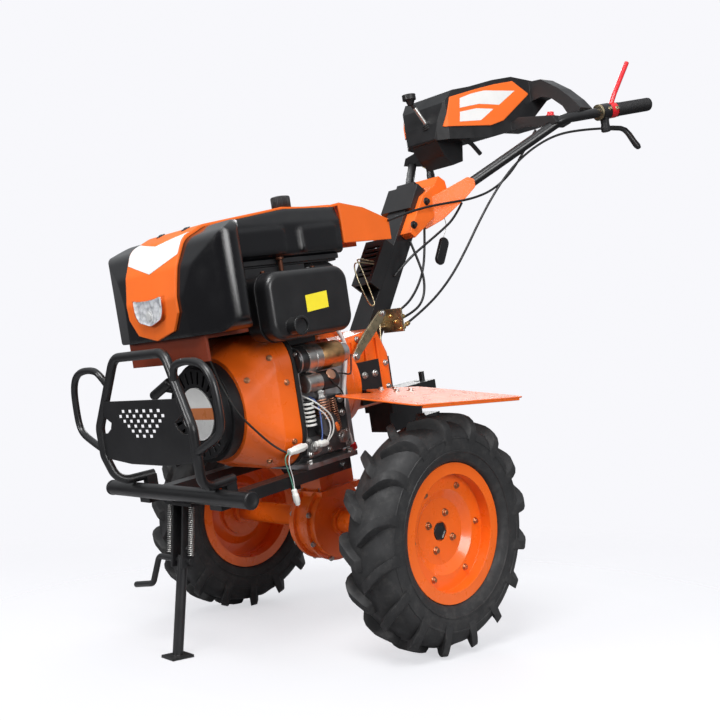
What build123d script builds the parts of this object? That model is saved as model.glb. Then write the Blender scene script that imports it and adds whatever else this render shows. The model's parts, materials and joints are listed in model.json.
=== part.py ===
import os
from math import cos, radians, sin, tan

from build123d import *

# Walk-behind power weeder: a two-wheeled tiller tractor with a single-cylinder diesel engine.
# Millimetres. The chassis is drawn level, from the middle of the wheel axle: X forward, Y left, Z up.
# At the end it is tipped about the axle until it stands on its wheels and its front stand.

NOSE_DOWN = 12.0          # degrees that the parked chassis leans forward on its stand
RUN = 0.08                # radial clearance of a shaft that turns in its bore
SEAT = 0.3                # clearance between a piece and the piece that it sits on

# Wheels
TYRE_R = 230.0
TYRE_W = 112.0
TRACK = 640.0
LUG_H = 15.0
LUG_W = 17.0
LUG_LEAN = 40.0           # degrees between a lug and the axle's direction
LUGS_PER_SIDE = 16
RIM_R = 134.0             # radius of the rim's flanges
RIM_W = 78.0              # over the flanges
RIM_WALL = 4.0
RIM_BARREL_R = 116.0
DISC_RECESS = 24.0        # from the outer flange to the disc's rim
DISC_DISH = 12.0          # from the disc's rim to its hub seat
HUB_SEAT_R = 58.0
HUB_FLANGE_T = 8.0
HUB_SLEEVE_R = 24.0
AXLE_R = 14.0
DISC_HOLE_R = 19.0

# Gearbox: the final drive drum on the axle, the leg above it and the change-speed case on the crank's line
CRANK_Z = 293.0
DRUM_R = 78.0
DRUM_W = 84.0
DRUM_RIM = 9.0
LEG_X = (-62.0, 36.0)     # rear and front faces
LEG_W = 66.0
CASE_X = (-205.0, -56.0)
CASE_W = 124.0
CASE_Z = (226.0, 398.0)
RIB_H = 6.0               # of the ribs down the case's sides

# Engine, with its crank along X
ENGINE_BASE_Z = 152.0
ENGINE_X = (-56.0, 150.0)
ENGINE_W = 210.0
ENGINE_TOP_Z = 396.0
BLOWER_X = (150.0, 252.0)
BLOWER_W = 282.0
BLOWER_Z = (158.0, 436.0)
BLOWER_ROUND = 78.0
RECOIL_R = 99.0
RECOIL_X = (252.0, 290.0)
LOUVRES = 24
DISC_R = 52.0             # of the plain disc in the hand starter's middle
PULL_R = 10.0             # of its pull grip
CYLINDER_X = (44.0, 236.0)
CYLINDER_W = 196.0
MUFFLER_X = (20.0, 228.0)
MUFFLER_Y = (122.0, 196.0)
MUFFLER_Z = (412.0, 541.0)
MUFFLER_ROUND = 32.0
STUB_R = 17.0
STUB_L = 26.0

# Tank and its cover
TANK_TOP_Z = 670.0
TANK_FRONT_X = 345.0
TANK_STEP_X = 262.0       # rear of the wide front lobe
TANK_CORNER_X = 316.0     # where the lobe's side turns into its slanted front
TANK_REAR_X = -72.0
LOBE_W = 404.0
LOBE_FRONT_W = 190.0
LOBE_Z = TANK_TOP_Z - 224 # underside of the lobe
LOBE_ROUND = 36.0         # of the lobe's long edges
CORNER_ROUND = 30.0       # of its upright edges
NECK_W = 200.0            # width of the tank behind the lobe
NECK_Z = TANK_TOP_Z - 98  # its underside
PAD_T = 5.0               # how far the pads on the neck's sides stand out
COVER_T = 5.0
COVER_W = 186.0
ARM_W = 120.0             # width of the cover's rear arm
ARM_END_X = -270.0
CAP_X = -4.0
CAP_R = 21.0
CAP_H = 26.0
CYLINDER_TOP_Z = NECK_Z - 16
BROW_ROUND = 36.0         # of the bends where the tank's front turns into its top
NECK_ROUND = 12.0
PADS_X = ((-58.0, 46.0), (86.0, 228.0))
PAD_ROUND = 8.0
WINDOW_ROUND = 10.0
LENS_H = 12.0             # how far the lamp stands out
SUPPORT_W = 264.0
SUPPORT_DROP = 48.0

# Chassis
RAIL_Y = 122.0
RAIL_W = 36.0
RAIL_H = 22.0
CROSSBAR_X = 367.6
CROSSBAR_Z = 155.8
CROSSBAR_OD = 30.0
CROSSBAR_L = 476.0
HOOP_X = 412.0            # of the hoop at its widest
HOOP_REAR_X = 326.0       # rear end of its legs
HOOP_W = 326.0            # between its sides' middles
HOOP_SIDE_Z = (236.0, 292.0)
HOOP_TOP_W = 180.0
HOOP_TOP_Z = 426.0
HOOP_OD = 18.0
HOOP_BEND = 34.0
WING_OD = 14.0
WING_BEND = 15.0
PLATE_T = 3.0
PLATE_Z = (222.0, 344.0)
SLOT_ROWS = (6, 7, 6, 5, 4, 3)
SLOT_PITCH = 25.0
SLOT_RISE = 9.5
SLOT_W = 14.0
SLOT_H = 6.0

# Front stand
STAND_DROP = 127.0        # from the crossbar's axis down to the hinge, parked
STAND_BACK = 19.0         # from the crossbar's axis back to the hinge, parked
STAND_TUBE = 20.0
FOOT_AHEAD = 8.0          # foot ahead of the hinge, so that the load holds the leg on its stop
STAND_ROD_R = 6.0
FOOT_L = 46.0
FOOT_W = 40.0
FOOT_T = 5.0

# Steering column and handlebars
COLUMN_FOOT = (-176.0, 352.0)
COLUMN_HEAD = (-436.0, 716.0)
COLUMN_W = 58.0
COLUMN_D = 50.0
SOCKET_W = 98.0           # of the head that holds the handlebars
SOCKET_H = 70.0
FORK_L = 142.0            # reach of the column cover's arms up the handlebars
FORK_W = 46.0
FORK_ROUND = 6.0
CHEEKS_W = 124.0
BAR_OD = 25.0
BAR_WALL = 2.5
BAR_BEND_R = 90.0
GRIP_OD = 35.0
GRIP_L = 112.0

# Fenders
FENDER_X = (-246.0, 92.0)
FENDER_Y = (102.0, 392.0)
FENDER_T = 3.0
FENDER_LIP = 14.0
FENDER_Z = TYRE_R + 28    # over the axle, at the tyre's middle
FENDER_FALL = 8.0         # degrees, down towards the rear
FENDER_CAMBER = 6.0       # degrees, down towards the outside
FENDER_STEP_X = -30.0     # its inner edge steps out round the engine ahead of here
FENDER_STEP_Y = 172.0
FENDER_PLACE = Pos(0, TRACK / 2, FENDER_Z) * Rot(-FENDER_CAMBER, -FENDER_FALL, 0)


def face(points, radius=0.0):
    """A closed outline with every corner rounded by the same radius."""
    outline = make_face(Polyline(*points, close=True))
    return fillet(outline.vertices(), radius) if radius else outline


def across(outline, width, middle=0.0):
    """An outline in X and Z, extruded across the machine."""
    return Pos(0, middle, 0) * extrude(Plane.XZ * outline, amount=width / 2, both=True)


def upward(outline, low, high):
    """An outline in X and Y, extruded upward."""
    return Pos(0, 0, low) * extrude(outline, amount=high - low, dir=(0, 0, 1))


def forward(outline, rear, front):
    """An outline in Y and Z, extruded forward."""
    return Pos(rear, 0, 0) * extrude(Plane.YZ * outline, amount=front - rear, dir=(1, 0, 0))


def block(x, y, z):
    """A box between two limits on each axis."""
    size = [high - low for low, high in (x, y, z)]
    middle = [(low + high) / 2 for low, high in (x, y, z)]
    return Pos(*middle) * Box(*size)


def rod(start, end, radius):
    """A round bar between two points."""
    run = Vector(*end) - Vector(*start)
    return Plane(origin=start, z_dir=run) * Cylinder(
        radius, run.length, align=(Align.CENTER, Align.CENTER, Align.MIN))


def bent(points, outside, bends, wall=0.0):
    """A round tube or bar along straight runs joined by tangent bends."""
    path = FilletPolyline(*points, radius=bends)
    start = Plane(origin=path @ 0, z_dir=path % 0)
    solid = sweep(start * Circle(outside / 2), path=path)
    if wall:
        solid -= sweep(start * Circle(outside / 2 - wall), path=path)
    return solid


def both_sides(solid):
    """A piece and its mirror image on the machine's other side."""
    return [solid, solid.mirror(Plane.XZ)]


def tyre():
    """A filled tyre about Y, with two staggered rows of leaning lugs."""
    crown = TYRE_R - LUG_H
    seat_r = RIM_BARREL_R + SEAT
    seat_w = RIM_W / 2 - RIM_WALL - SEAT
    bead_r = RIM_R + SEAT
    half = TYRE_W / 2 - 3
    right = [(seat_r, seat_w), (bead_r, seat_w), (bead_r + 6, half - 6), (bead_r + 28, half),
             (crown - 22, half - 3), (crown - 7, half - 15), (crown, half - 34)]
    carcass = revolve(face(right + [(r, -y) for r, y in reversed(right)]), Axis.Y)
    shoulder = [(crown - 40, TYRE_W / 2), (TYRE_R - 26, TYRE_W / 2), (TYRE_R - 5, TYRE_W / 2 - 12),
                (TYRE_R, TYRE_W / 2 - 22)]
    envelope = revolve(face(shoulder + [(r, -y) for r, y in reversed(shoulder)]), Axis.Y)
    inner, outer = 3.0, TYRE_W / 2 + 4
    sweep_back = (outer - inner) * tan(radians(LUG_LEAN))
    bar = upward(face([(LUG_W / 2, inner), (-LUG_W / 2, inner), (-LUG_W / 2 - sweep_back, outer),
                       (LUG_W / 2 - sweep_back, outer)]), crown - 20, TYRE_R + 15)
    lug = bar & envelope
    pitch = 360 / LUGS_PER_SIDE
    row = [Rot(0, step * pitch, 0) * lug for step in range(LUGS_PER_SIDE)]
    far = Rot(0, pitch / 2, 0) * lug.mirror(Plane.XZ)
    row += [Rot(0, step * pitch, 0) * far for step in range(LUGS_PER_SIDE)]
    return carcass.fuse(*row)


def rim():
    """A pressed rim about Y, its dished disc set in from the outer (+Y) flange."""
    edge = RIM_W / 2
    barrel = [(RIM_R, edge), (RIM_R, edge - RIM_WALL), (RIM_BARREL_R, edge - RIM_WALL),
              (RIM_BARREL_R, RIM_WALL - edge), (RIM_R, RIM_WALL - edge), (RIM_R, -edge),
              (RIM_BARREL_R - RIM_WALL, -edge), (RIM_BARREL_R - RIM_WALL, edge)]
    disc_y = edge - DISC_RECESS
    seat_y = disc_y - DISC_DISH
    disc = [(RIM_BARREL_R - RIM_WALL + 1, disc_y), (HUB_SEAT_R + 24, disc_y), (HUB_SEAT_R + 6, seat_y),
            (DISC_HOLE_R, seat_y), (DISC_HOLE_R, seat_y - RIM_WALL), (HUB_SEAT_R + 8, seat_y - RIM_WALL),
            (HUB_SEAT_R + 26, disc_y - RIM_WALL), (RIM_BARREL_R - RIM_WALL + 1, disc_y - RIM_WALL)]
    return revolve(face(barrel), Axis.Y) + revolve(face(disc), Axis.Y)


WHEEL_Y = TRACK / 2
SEAT_Y = WHEEL_Y + RIM_W / 2 - DISC_RECESS - DISC_DISH - RIM_WALL
DRUM_FACE = DRUM_W / 2


def hub():
    """The left hub: a flange behind the rim's disc and a sleeve over the axle."""
    inner_end = DRUM_FACE + 12
    flange = rod((0, SEAT_Y - HUB_FLANGE_T, 0), (0, SEAT_Y, 0), HUB_SEAT_R)
    sleeve = rod((0, inner_end, 0), (0, SEAT_Y - HUB_FLANGE_T, 0), HUB_SLEEVE_R)
    collar = rod((0, SEAT_Y - HUB_FLANGE_T - 14, 0), (0, SEAT_Y - HUB_FLANGE_T, 0), HUB_SLEEVE_R + 8)
    bore = rod((0, inner_end - 1, 0), (0, SEAT_Y + 1, 0), AXLE_R + RUN)
    return flange + collar + sleeve - bore


def axle():
    """The left output shaft, from inside the drum to the hub's flange."""
    return rod((0, 2, 0), (0, SEAT_Y, 0), AXLE_R)


def final_drive():
    """The drum on the axle and the leg that carries it, with bolting flanges."""
    drum = rod((0, -DRUM_FACE, 0), (0, DRUM_FACE, 0), DRUM_R)
    for y in (-22, 22):
        drum += rod((0, y - DRUM_RIM / 2, 0), (0, y + DRUM_RIM / 2, 0), DRUM_R + 8)
    leg_outline = face([(LEG_X[0], 0), (LEG_X[1], 0), (LEG_X[1], CASE_Z[0] + 20),
                        (LEG_X[0], CASE_Z[0] + 20)])
    leg = across(leg_outline, LEG_W)
    toe = across(face([(LEG_X[0] - 8, 60), (LEG_X[1] + 10, 60), (LEG_X[1] + 10, 74), (LEG_X[0] - 8, 74)]),
                 LEG_W + 22)
    bore = rod((0, -DRUM_FACE - 20, 0), (0, DRUM_FACE + 20, 0), AXLE_R + RUN)
    bosses = rod((0, -DRUM_FACE - 11, 0), (0, DRUM_FACE + 11, 0), AXLE_R + 16)
    return drum + leg + toe + bosses - bore


def case_outline():
    """The change-speed case's side view."""
    return face([(CASE_X[0], CASE_Z[0] + 24), (CASE_X[0] + 30, CASE_Z[0]), (CASE_X[1], CASE_Z[0]),
                 (CASE_X[1], CASE_Z[1] - 12), (CASE_X[0] + 26, CASE_Z[1]), (CASE_X[0], CASE_Z[1] - 60)], 9)


def gearbox():
    """The change-speed case behind the engine, with its bell and ribs."""
    case = across(case_outline(), CASE_W)
    case = fillet(case.edges().filter_by(Axis.X).sort_by(Axis.Z)[-2:], 14)
    flange = forward(Pos(0, CRANK_Z) * Circle(96), CASE_X[1] - 14, CASE_X[1])
    ribs = [block((x, x + 6), (-CASE_W / 2 - RIB_H, CASE_W / 2 + RIB_H), (CASE_Z[0] + 14, CASE_Z[1] - 22))
            for x in (-166, -128, -90)]
    leg_top = block((LEG_X[0] - SEAT, LEG_X[1] + SEAT), (-LEG_W / 2 - SEAT, LEG_W / 2 + SEAT),
                    (0, CASE_Z[0] + 20 + SEAT))
    return case.fuse(flange, *ribs) - leg_top


def engine_block():
    """The crankcase: a plain heavy block with feet, a side cover and a bell towards the gearbox."""
    body = forward(face([(-ENGINE_W / 2, ENGINE_BASE_Z + 8), (ENGINE_W / 2, ENGINE_BASE_Z + 8),
                         (ENGINE_W / 2, CRANK_Z + 60), (ENGINE_W / 2 - 40, ENGINE_TOP_Z),
                         (40 - ENGINE_W / 2, ENGINE_TOP_Z), (-ENGINE_W / 2, CRANK_Z + 60)], 14),
                   ENGINE_X[0] + 40, ENGINE_X[1])
    bell = forward(Pos(0, CRANK_Z) * Circle(96), ENGINE_X[0], ENGINE_X[0] + 40)
    feet = block((ENGINE_X[0] + 70, ENGINE_X[1]), (-RAIL_Y - RAIL_W / 2, RAIL_Y + RAIL_W / 2),
                 (ENGINE_BASE_Z, ENGINE_BASE_Z + 9))
    leg = block((LEG_X[0] - 12, LEG_X[1] + 12), (-LEG_W / 2 - 14, LEG_W / 2 + 14), (0, CASE_Z[0] + 24))
    return body.fuse(bell, feet) - leg


def blower_housing():
    """The fan housing that flares from the recoil starter's circle to the crankcase."""
    middle = (BLOWER_Z[0] + BLOWER_Z[1]) / 2
    back = Plane.YZ.offset(BLOWER_X[0]) * Pos(0, middle) * RectangleRounded(
        BLOWER_W, BLOWER_Z[1] - BLOWER_Z[0], BLOWER_ROUND)
    shoulder = Plane.YZ.offset(BLOWER_X[0] + 40) * Pos(0, middle) * RectangleRounded(
        BLOWER_W - 10, BLOWER_Z[1] - BLOWER_Z[0] - 10, BLOWER_ROUND)
    nose = Plane.YZ.offset(BLOWER_X[1]) * Pos(0, CRANK_Z) * RectangleRounded(
        2 * RECOIL_R + 12, 2 * RECOIL_R + 12, RECOIL_R)
    return loft([back, shoulder], ruled=True) + loft([shoulder, nose], ruled=True)


def recoil_starter():
    """The hand starter's round housing, its louvres cut through the rim of its face, and its pull grip."""
    centre = Pos(0, CRANK_Z)
    front = RECOIL_X[1]
    drum = forward(centre * Circle(RECOIL_R), RECOIL_X[0], front - 14)
    face_ring = forward(centre * Circle(RECOIL_R - 9), front - 14, front)
    dish = forward(centre * Circle(DISC_R + 2), front - 5, front + 1)
    louvre = block((front - 12, front + 1), (-3.2, 3.2), (DISC_R + 8, RECOIL_R - 14))
    louvres = [Pos(0, 0, CRANK_Z) * Rot(turn * 360 / LOUVRES, 0, 0) * louvre for turn in range(LOUVRES)]
    handle = rod((front + 12, -130, CRANK_Z + 41), (front + 12, -58, CRANK_Z + 69), PULL_R)
    handle = fillet(handle.edges(), PULL_R / 2)
    neck = rod((front - 18, -76, CRANK_Z + 44), (front + 12, -92, CRANK_Z + 56), 6)
    return (drum + face_ring - dish).cut(*louvres).fuse(handle, neck)


def recoil_disc():
    """The flat round disc in the hand starter's middle."""
    return forward(Pos(0, CRANK_Z) * Circle(DISC_R), RECOIL_X[1] - 5 + SEAT, RECOIL_X[1] + 1)


def cylinder_shroud():
    """The cylinder's cooling shroud, from the fan housing up under the tank."""
    outline = face([(CYLINDER_X[0], ENGINE_TOP_Z + SEAT), (BLOWER_X[0] - SEAT, ENGINE_TOP_Z + SEAT),
                    (BLOWER_X[0] - SEAT, BLOWER_Z[1] + SEAT), (CYLINDER_X[1], BLOWER_Z[1] + SEAT),
                    (CYLINDER_X[1], BLOWER_Z[1] + 40), (CYLINDER_X[1] - 40, CYLINDER_TOP_Z),
                    (CYLINDER_X[0], CYLINDER_TOP_Z)])
    return across(outline, CYLINDER_W)


def muffler():
    """The silencer box on the cylinder's left side, with its inlet neck and outlet stub."""
    outline = face([(MUFFLER_X[0], MUFFLER_Z[0]), (MUFFLER_X[1], MUFFLER_Z[0]),
                    (MUFFLER_X[1], MUFFLER_Z[1]), (MUFFLER_X[0], MUFFLER_Z[1])], MUFFLER_ROUND)
    depth = MUFFLER_Y[1] - MUFFLER_Y[0]
    box = across(outline, depth, (MUFFLER_Y[0] + MUFFLER_Y[1]) / 2)
    box = fillet(box.faces().sort_by(Axis.Y)[-1].edges(), 12)
    neck = rod((110, CYLINDER_W / 2 + SEAT, 486), (110, MUFFLER_Y[0] + 4, 486), 26)
    stub = rod((181, MUFFLER_Y[1] - 4, 436), (181, MUFFLER_Y[1] + STUB_L, 436), STUB_R)
    pipe = rod((181, MUFFLER_Y[1] - 30, 436), (181, MUFFLER_Y[1] + STUB_L + 1, 436), STUB_R - 3)
    return box + neck + stub - pipe


def air_cleaner():
    """The intake filter box on the cylinder's right side."""
    outline = face([(46, 424), (222, 424), (222, 548), (46, 548)], 30)
    box = across(outline, 76, -156)
    box = fillet(box.faces().sort_by(Axis.Y)[0].edges(), 16)
    neck = rod((110, -CYLINDER_W / 2 - SEAT, 486), (110, -122, 486), 24)
    return box + neck


def starter_motor():
    """The electric starter and its solenoid, clamped along the crankcase's left side."""
    motor = rod((24, 132, 366), (140, 132, 366), 27)
    nose = rod((4, 132, 366), (24, 132, 366), 20)
    solenoid = rod((48, 140, 318), (128, 140, 318), 18)
    strap = block((80, 104), (ENGINE_W / 2 + SEAT - 6, 128), (312, 372))
    crankcase = block((ENGINE_X[0], ENGINE_X[1]), (0, ENGINE_W / 2 + SEAT), (0, ENGINE_TOP_Z))
    return motor.fuse(nose, solenoid, strap) - crankcase


def injection_pump():
    """The injection pump and governor cover on the crankcase's left side."""
    cover = across(face([(20, 172), (140, 172), (140, 262), (112, 286), (40, 286), (20, 250)], 10), 26,
                   ENGINE_W / 2 + SEAT + 13)
    pump = rod((92, ENGINE_W / 2 + 20, 232), (92, ENGINE_W / 2 + 50, 232), 24)
    element = rod((92, ENGINE_W / 2 + 36, 232), (92, ENGINE_W / 2 + 36, 286), 13)
    return cover.fuse(pump, element)


def tank_profile(grow):
    """The tank's side view, its front and top standing out by grow, its underside with room to trim."""
    trim = 30
    front = TANK_FRONT_X + grow
    top = TANK_TOP_Z + grow
    outline = face([(TANK_REAR_X - trim, NECK_Z - trim), (TANK_STEP_X - trim, NECK_Z - trim),
                    (TANK_STEP_X - trim, LOBE_Z - trim), (front, LOBE_Z - trim),
                    (front + 4, TANK_TOP_Z - 150), (front - 6, TANK_TOP_Z - 95), (front - 28, top - 48),
                    (front - 75, top - 26), (70, top), (TANK_REAR_X - trim, top)])
    brow = [corner for corner in outline.vertices() if corner.X > TANK_STEP_X and corner.Y > LOBE_Z]
    return fillet(brow, BROW_ROUND)


def fuel_tank():
    """The tank: a wide rounded lobe in front and a narrower neck over the engine, with pads on its sides."""
    half, nose = LOBE_W / 2, LOBE_FRONT_W / 2
    wide = face([(TANK_STEP_X, -half), (TANK_CORNER_X, -half), (TANK_FRONT_X + 6, -nose),
                 (TANK_FRONT_X + 6, nose), (TANK_CORNER_X, half), (TANK_STEP_X, half)], CORNER_ROUND)
    side, shoulder = half + 2, TANK_TOP_Z - 26
    front_view = face([(-side, LOBE_Z), (side, LOBE_Z), (side, shoulder), (-side, shoulder)], LOBE_ROUND)
    lobe = (across(tank_profile(0), LOBE_W + 10) & upward(wide, LOBE_Z - 40, TANK_TOP_Z + 30)
            & forward(front_view, TANK_STEP_X - 10, TANK_FRONT_X + 20))
    flank = NECK_W / 2
    crown = COVER_W / 2 - 12
    neck_view = face([(-flank, NECK_Z), (flank, NECK_Z), (flank, TANK_TOP_Z - 30), (crown, TANK_TOP_Z + 20),
                      (-crown, TANK_TOP_Z + 20), (-flank, TANK_TOP_Z - 30)], NECK_ROUND)
    neck = across(tank_profile(0), NECK_W + 10) & forward(neck_view, TANK_REAR_X, TANK_STEP_X + 20)
    pads = []
    for rear, front in PADS_X:
        pad = across(face([(rear, NECK_Z + 8), (front, NECK_Z + 8), (front, TANK_TOP_Z - 40),
                           (rear, TANK_TOP_Z - 36)], PAD_ROUND), PAD_T + 2, flank + PAD_T / 2 - 1)
        pads += both_sides(pad)
    return (lobe + neck).fuse(*pads)


def arm_plan(inset):
    """The cover's rear arm seen from above, tapering back to the column, as a tall block."""
    ahead, behind = TANK_REAR_X, ARM_END_X - inset
    wide, narrow = NECK_W / 2 - inset, ARM_W / 2 - inset
    return upward(face([(ahead, -wide), (ahead, wide), (behind, narrow), (behind, -narrow)]),
                  TANK_TOP_Z - 120, TANK_TOP_Z + 40)


def tank_cover():
    """The shield-shaped front panel, the window frame on top and the arm back to the column."""
    skin = across(tank_profile(COVER_T), COVER_W) - across(tank_profile(SEAT), COVER_W + 10)
    edge = COVER_W / 2
    right = [(edge - 31, LOBE_Z + 14), (edge - 8, LOBE_Z + 46), (edge - 6, LOBE_Z + 99),
             (edge, TANK_TOP_Z - 30), (edge, TANK_TOP_Z + 50)]
    shield = forward(face([(0, LOBE_Z)] + right + [(-y, z) for y, z in reversed(right)]),
                     0, TANK_FRONT_X + 60)
    above = (TANK_TOP_Z - 80, TANK_TOP_Z + 50)
    left = [(TANK_FRONT_X + 75, edge), (70, edge - 7), (-20, edge - 21), (TANK_REAR_X - 20, ARM_W / 2 + 6)]
    plan = upward(face(left + [(x, -y) for x, y in reversed(left)]), LOBE_Z - 40, above[1])
    window_outline = face([(256, edge - 35), (84, edge - 41), (84, 41 - edge), (256, 35 - edge)], WINDOW_ROUND)
    window = upward(window_outline, *above)
    crown = block((TANK_REAR_X - 30, TANK_FRONT_X - 45), (-edge - 7, edge + 7), (TANK_TOP_Z - 40, above[1]))
    front = (skin & plan & (shield + crown)) - window
    foot = TANK_REAR_X - 8
    arm_outer = face([(foot, TANK_TOP_Z - 79), (ARM_END_X, TANK_TOP_Z - 76), (ARM_END_X, TANK_TOP_Z - 30),
                      (foot - 90, TANK_TOP_Z - 3), (foot, TANK_TOP_Z + 7)])
    arm_inner = face([(foot + 8, TANK_TOP_Z - 90), (ARM_END_X - 10, TANK_TOP_Z - 90),
                      (ARM_END_X - 10, TANK_TOP_Z - 37), (foot - 90, TANK_TOP_Z - 8),
                      (foot + 8, TANK_TOP_Z + 2)])
    arm = (across(arm_outer, NECK_W) & arm_plan(0)) - (across(arm_inner, NECK_W) & arm_plan(COVER_T))
    hood_outline = face([(foot - 8, TANK_TOP_Z - 3), (0, TANK_TOP_Z), (0, TANK_TOP_Z + 7),
                         (foot - 8, TANK_TOP_Z + 9)])
    hood = across(hood_outline, ARM_W) - across(tank_profile(SEAT), ARM_W + 10)
    cap_hole = rod((CAP_X, 0, TANK_TOP_Z - 70), (CAP_X, 0, TANK_TOP_Z + 50), CAP_R + 2)
    return front + arm + hood - cap_hole


def headlamp():
    """The crown-shaped front lamp, set on the shield panel."""
    right = [(22, LOBE_Z + 76), (50, LOBE_Z + 84), (48, LOBE_Z + 52), (38, LOBE_Z + 38)]
    outline = face([(0, LOBE_Z + 80)] + right + [(0, LOBE_Z + 28)] + [(-y, z) for y, z in reversed(right)])
    lens = forward(outline, TANK_FRONT_X, TANK_FRONT_X + COVER_T + LENS_H)
    return lens - across(tank_profile(COVER_T + SEAT), COVER_W)


def fuel_cap():
    """The ribbed filler cap on its neck."""
    base = TANK_TOP_Z + SEAT
    neck = rod((CAP_X, 0, base), (CAP_X, 0, base + 14), CAP_R - 6)
    cap = rod((CAP_X, 0, base + 14), (CAP_X, 0, base + 14 + CAP_H), CAP_R)
    return neck + cap


def tank_support():
    """The bent plate that carries the tank's lobe in front of the fan housing."""
    seat = LOBE_Z - SEAT
    front = TANK_FRONT_X - 10
    rear = CYLINDER_X[1] + SEAT
    outline = face([(rear, seat - 7), (front - 6, seat - 7), (front - 6, seat - SUPPORT_DROP),
                    (front, seat - SUPPORT_DROP), (front, seat), (rear, seat)])
    return across(outline, SUPPORT_W)


def rail():
    """The left rail under the engine, from the cross plate to the crossbar."""
    top = ENGINE_BASE_Z - SEAT
    beam = block((LEG_X[1] + SEAT, CROSSBAR_X), (RAIL_Y - RAIL_W / 2, RAIL_Y + RAIL_W / 2),
                 (top - RAIL_H, top))
    bar = rod((CROSSBAR_X, -CROSSBAR_L, CROSSBAR_Z), (CROSSBAR_X, CROSSBAR_L, CROSSBAR_Z),
              CROSSBAR_OD / 2 + SEAT)
    return beam - bar - block((CROSSBAR_X - 3, 500), (-300, 300), (0, 300))


def rail_tie():
    """The plate between the rails, bolted to the leg's front."""
    top = ENGINE_BASE_Z - SEAT
    half = RAIL_Y - RAIL_W / 2
    return block((LEG_X[1] + SEAT, LEG_X[1] + 40), (-half, half), (top - RAIL_H, top))


def crossbar():
    """The tube across the front, closed at its ends."""
    half = CROSSBAR_L / 2
    return rod((CROSSBAR_X, -half, CROSSBAR_Z), (CROSSBAR_X, half, CROSSBAR_Z), CROSSBAR_OD / 2)


def bumper_hoop():
    """The bent hoop in front of the engine, its legs on pads on the rails."""
    leg_z = CROSSBAR_Z + (CROSSBAR_OD + HOOP_OD) / 2 + SEAT
    pad = block((HOOP_REAR_X, HOOP_REAR_X + 22), (RAIL_Y + 4, RAIL_Y + 22), (ENGINE_BASE_Z, leg_z))
    return bumper_hoop_path().fuse(*both_sides(pad))


def bumper_wings():
    """The outer guard bars, one on each side of the hoop."""
    half = HOOP_W / 2
    path = [(HOOP_X - 8, half - 44, HOOP_TOP_Z - 53), (HOOP_X, half - 30, HOOP_TOP_Z - 18),
            (HOOP_X, half + 51, HOOP_TOP_Z - 18), (HOOP_X, half + 84, HOOP_TOP_Z - 56),
            (HOOP_X, half + 84, HOOP_SIDE_Z[1] + 18), (HOOP_X, half + 6, HOOP_SIDE_Z[0] + 14)]
    bar = bent(path, WING_OD, WING_BEND)
    return [wing - bumper_hoop_path(SEAT) for wing in both_sides(bar)]


def bumper_hoop_path(grow=0.0):
    """The hoop's round bar, thicker by grow: two legs on the crossbar and the arch between them."""
    leg_z = CROSSBAR_Z + (CROSSBAR_OD + HOOP_OD) / 2 + SEAT
    half = HOOP_W / 2
    right = [(HOOP_REAR_X, RAIL_Y + 14, leg_z), (HOOP_X - 11, half - 16, leg_z),
             (HOOP_X, half, HOOP_SIDE_Z[0]), (HOOP_X, half, HOOP_SIDE_Z[1]),
             (HOOP_X - 14, HOOP_TOP_W / 2, HOOP_TOP_Z)]
    return bent(right + [(x, -y, z) for x, y, z in reversed(right)], HOOP_OD + 2 * grow, HOOP_BEND)


def bumper_plate():
    """The guard plate inside the hoop: rows of slots, and a notch beside each leg of the hoop."""
    half = HOOP_W / 2
    low, high = PLATE_Z
    right = [(half - 23, high), (half - 11, high - 22), (half - 51, high - 42), (half - 45, high - 54),
             (half - 29, high - 63), (half + 3, high - 64), (half + 3, low + 10), (60, low)]
    outline = face(right + [(-y, z) for y, z in reversed(right)])
    plate = forward(outline, HOOP_X - PLATE_T / 2, HOOP_X + PLATE_T / 2)
    slots = []
    for row, count in enumerate(SLOT_ROWS):
        z = high - 20 - row * SLOT_RISE
        for step in range(count):
            y = (step - (count - 1) / 2) * SLOT_PITCH
            slots.append(block((HOOP_X - PLATE_T, HOOP_X + PLATE_T), (y - SLOT_W / 2, y + SLOT_W / 2),
                               (z - SLOT_H / 2, z + SLOT_H / 2)))
    return plate.cut(bumper_hoop_path(SEAT), *slots)


def column():
    """The steering column: a folded steel box from the gearbox up to the handlebars' head."""
    case = across(offset(case_outline(), SEAT), 2 * CASE_W)
    tubes = both_sides(bar_path(BAR_OD + 2 * SEAT))
    return column_volume(0).cut(case, *tubes)


BAR_POINTS = [(-436.0, 36.0, 650.0), (-753.0, 256.0, 839.0), (-1023.0, 350.0, 863.0)]


def bar_path(outside, wall=0.0):
    """The left handlebar tube along its run and bend."""
    return bent(BAR_POINTS, outside, BAR_BEND_R, wall)


def handlebar():
    """The left handlebar tube."""
    return bar_path(BAR_OD, BAR_WALL)


CONSOLE_SPAN = (700.0, 1100.0)
CONSOLE_SIDE = [(-497.0, 828.0), (-505.0, 872.0), (-520.0, 918.0), (-548.0, 948.0), (-600.0, 955.0),
                (-672.0, 970.0), (-735.0, 978.0), (-806.0, 966.0), (-858.0, 944.0), (-862.0, 926.0),
                (-790.0, 866.0), (-706.0, 836.0), (-640.0, 824.0)]
CONSOLE_PLAN = [(-485.0, 24.0), (-502.0, 50.0), (-524.0, 71.0), (-650.0, 109.0), (-806.0, 149.0),
                (-880.0, 167.0)]
CONSOLE_ROUND = 6.0
PANEL_T = 2.5
GATE_W = 84.0
HOOK_OD = 11.0


def along_grip(distance):
    """A point on the left grip's axis, measured forward from the handlebar's end."""
    end, bend = Vector(*BAR_POINTS[2]), Vector(*BAR_POINTS[1])
    return end + (bend - end).normalized() * distance


def grip():
    """The left rubber grip, closed at its end."""
    outer = rod(along_grip(-4), along_grip(GRIP_L), GRIP_OD / 2)
    return outer - rod(along_grip(0), along_grip(GRIP_L + 1), BAR_OD / 2 + RUN)


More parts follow.
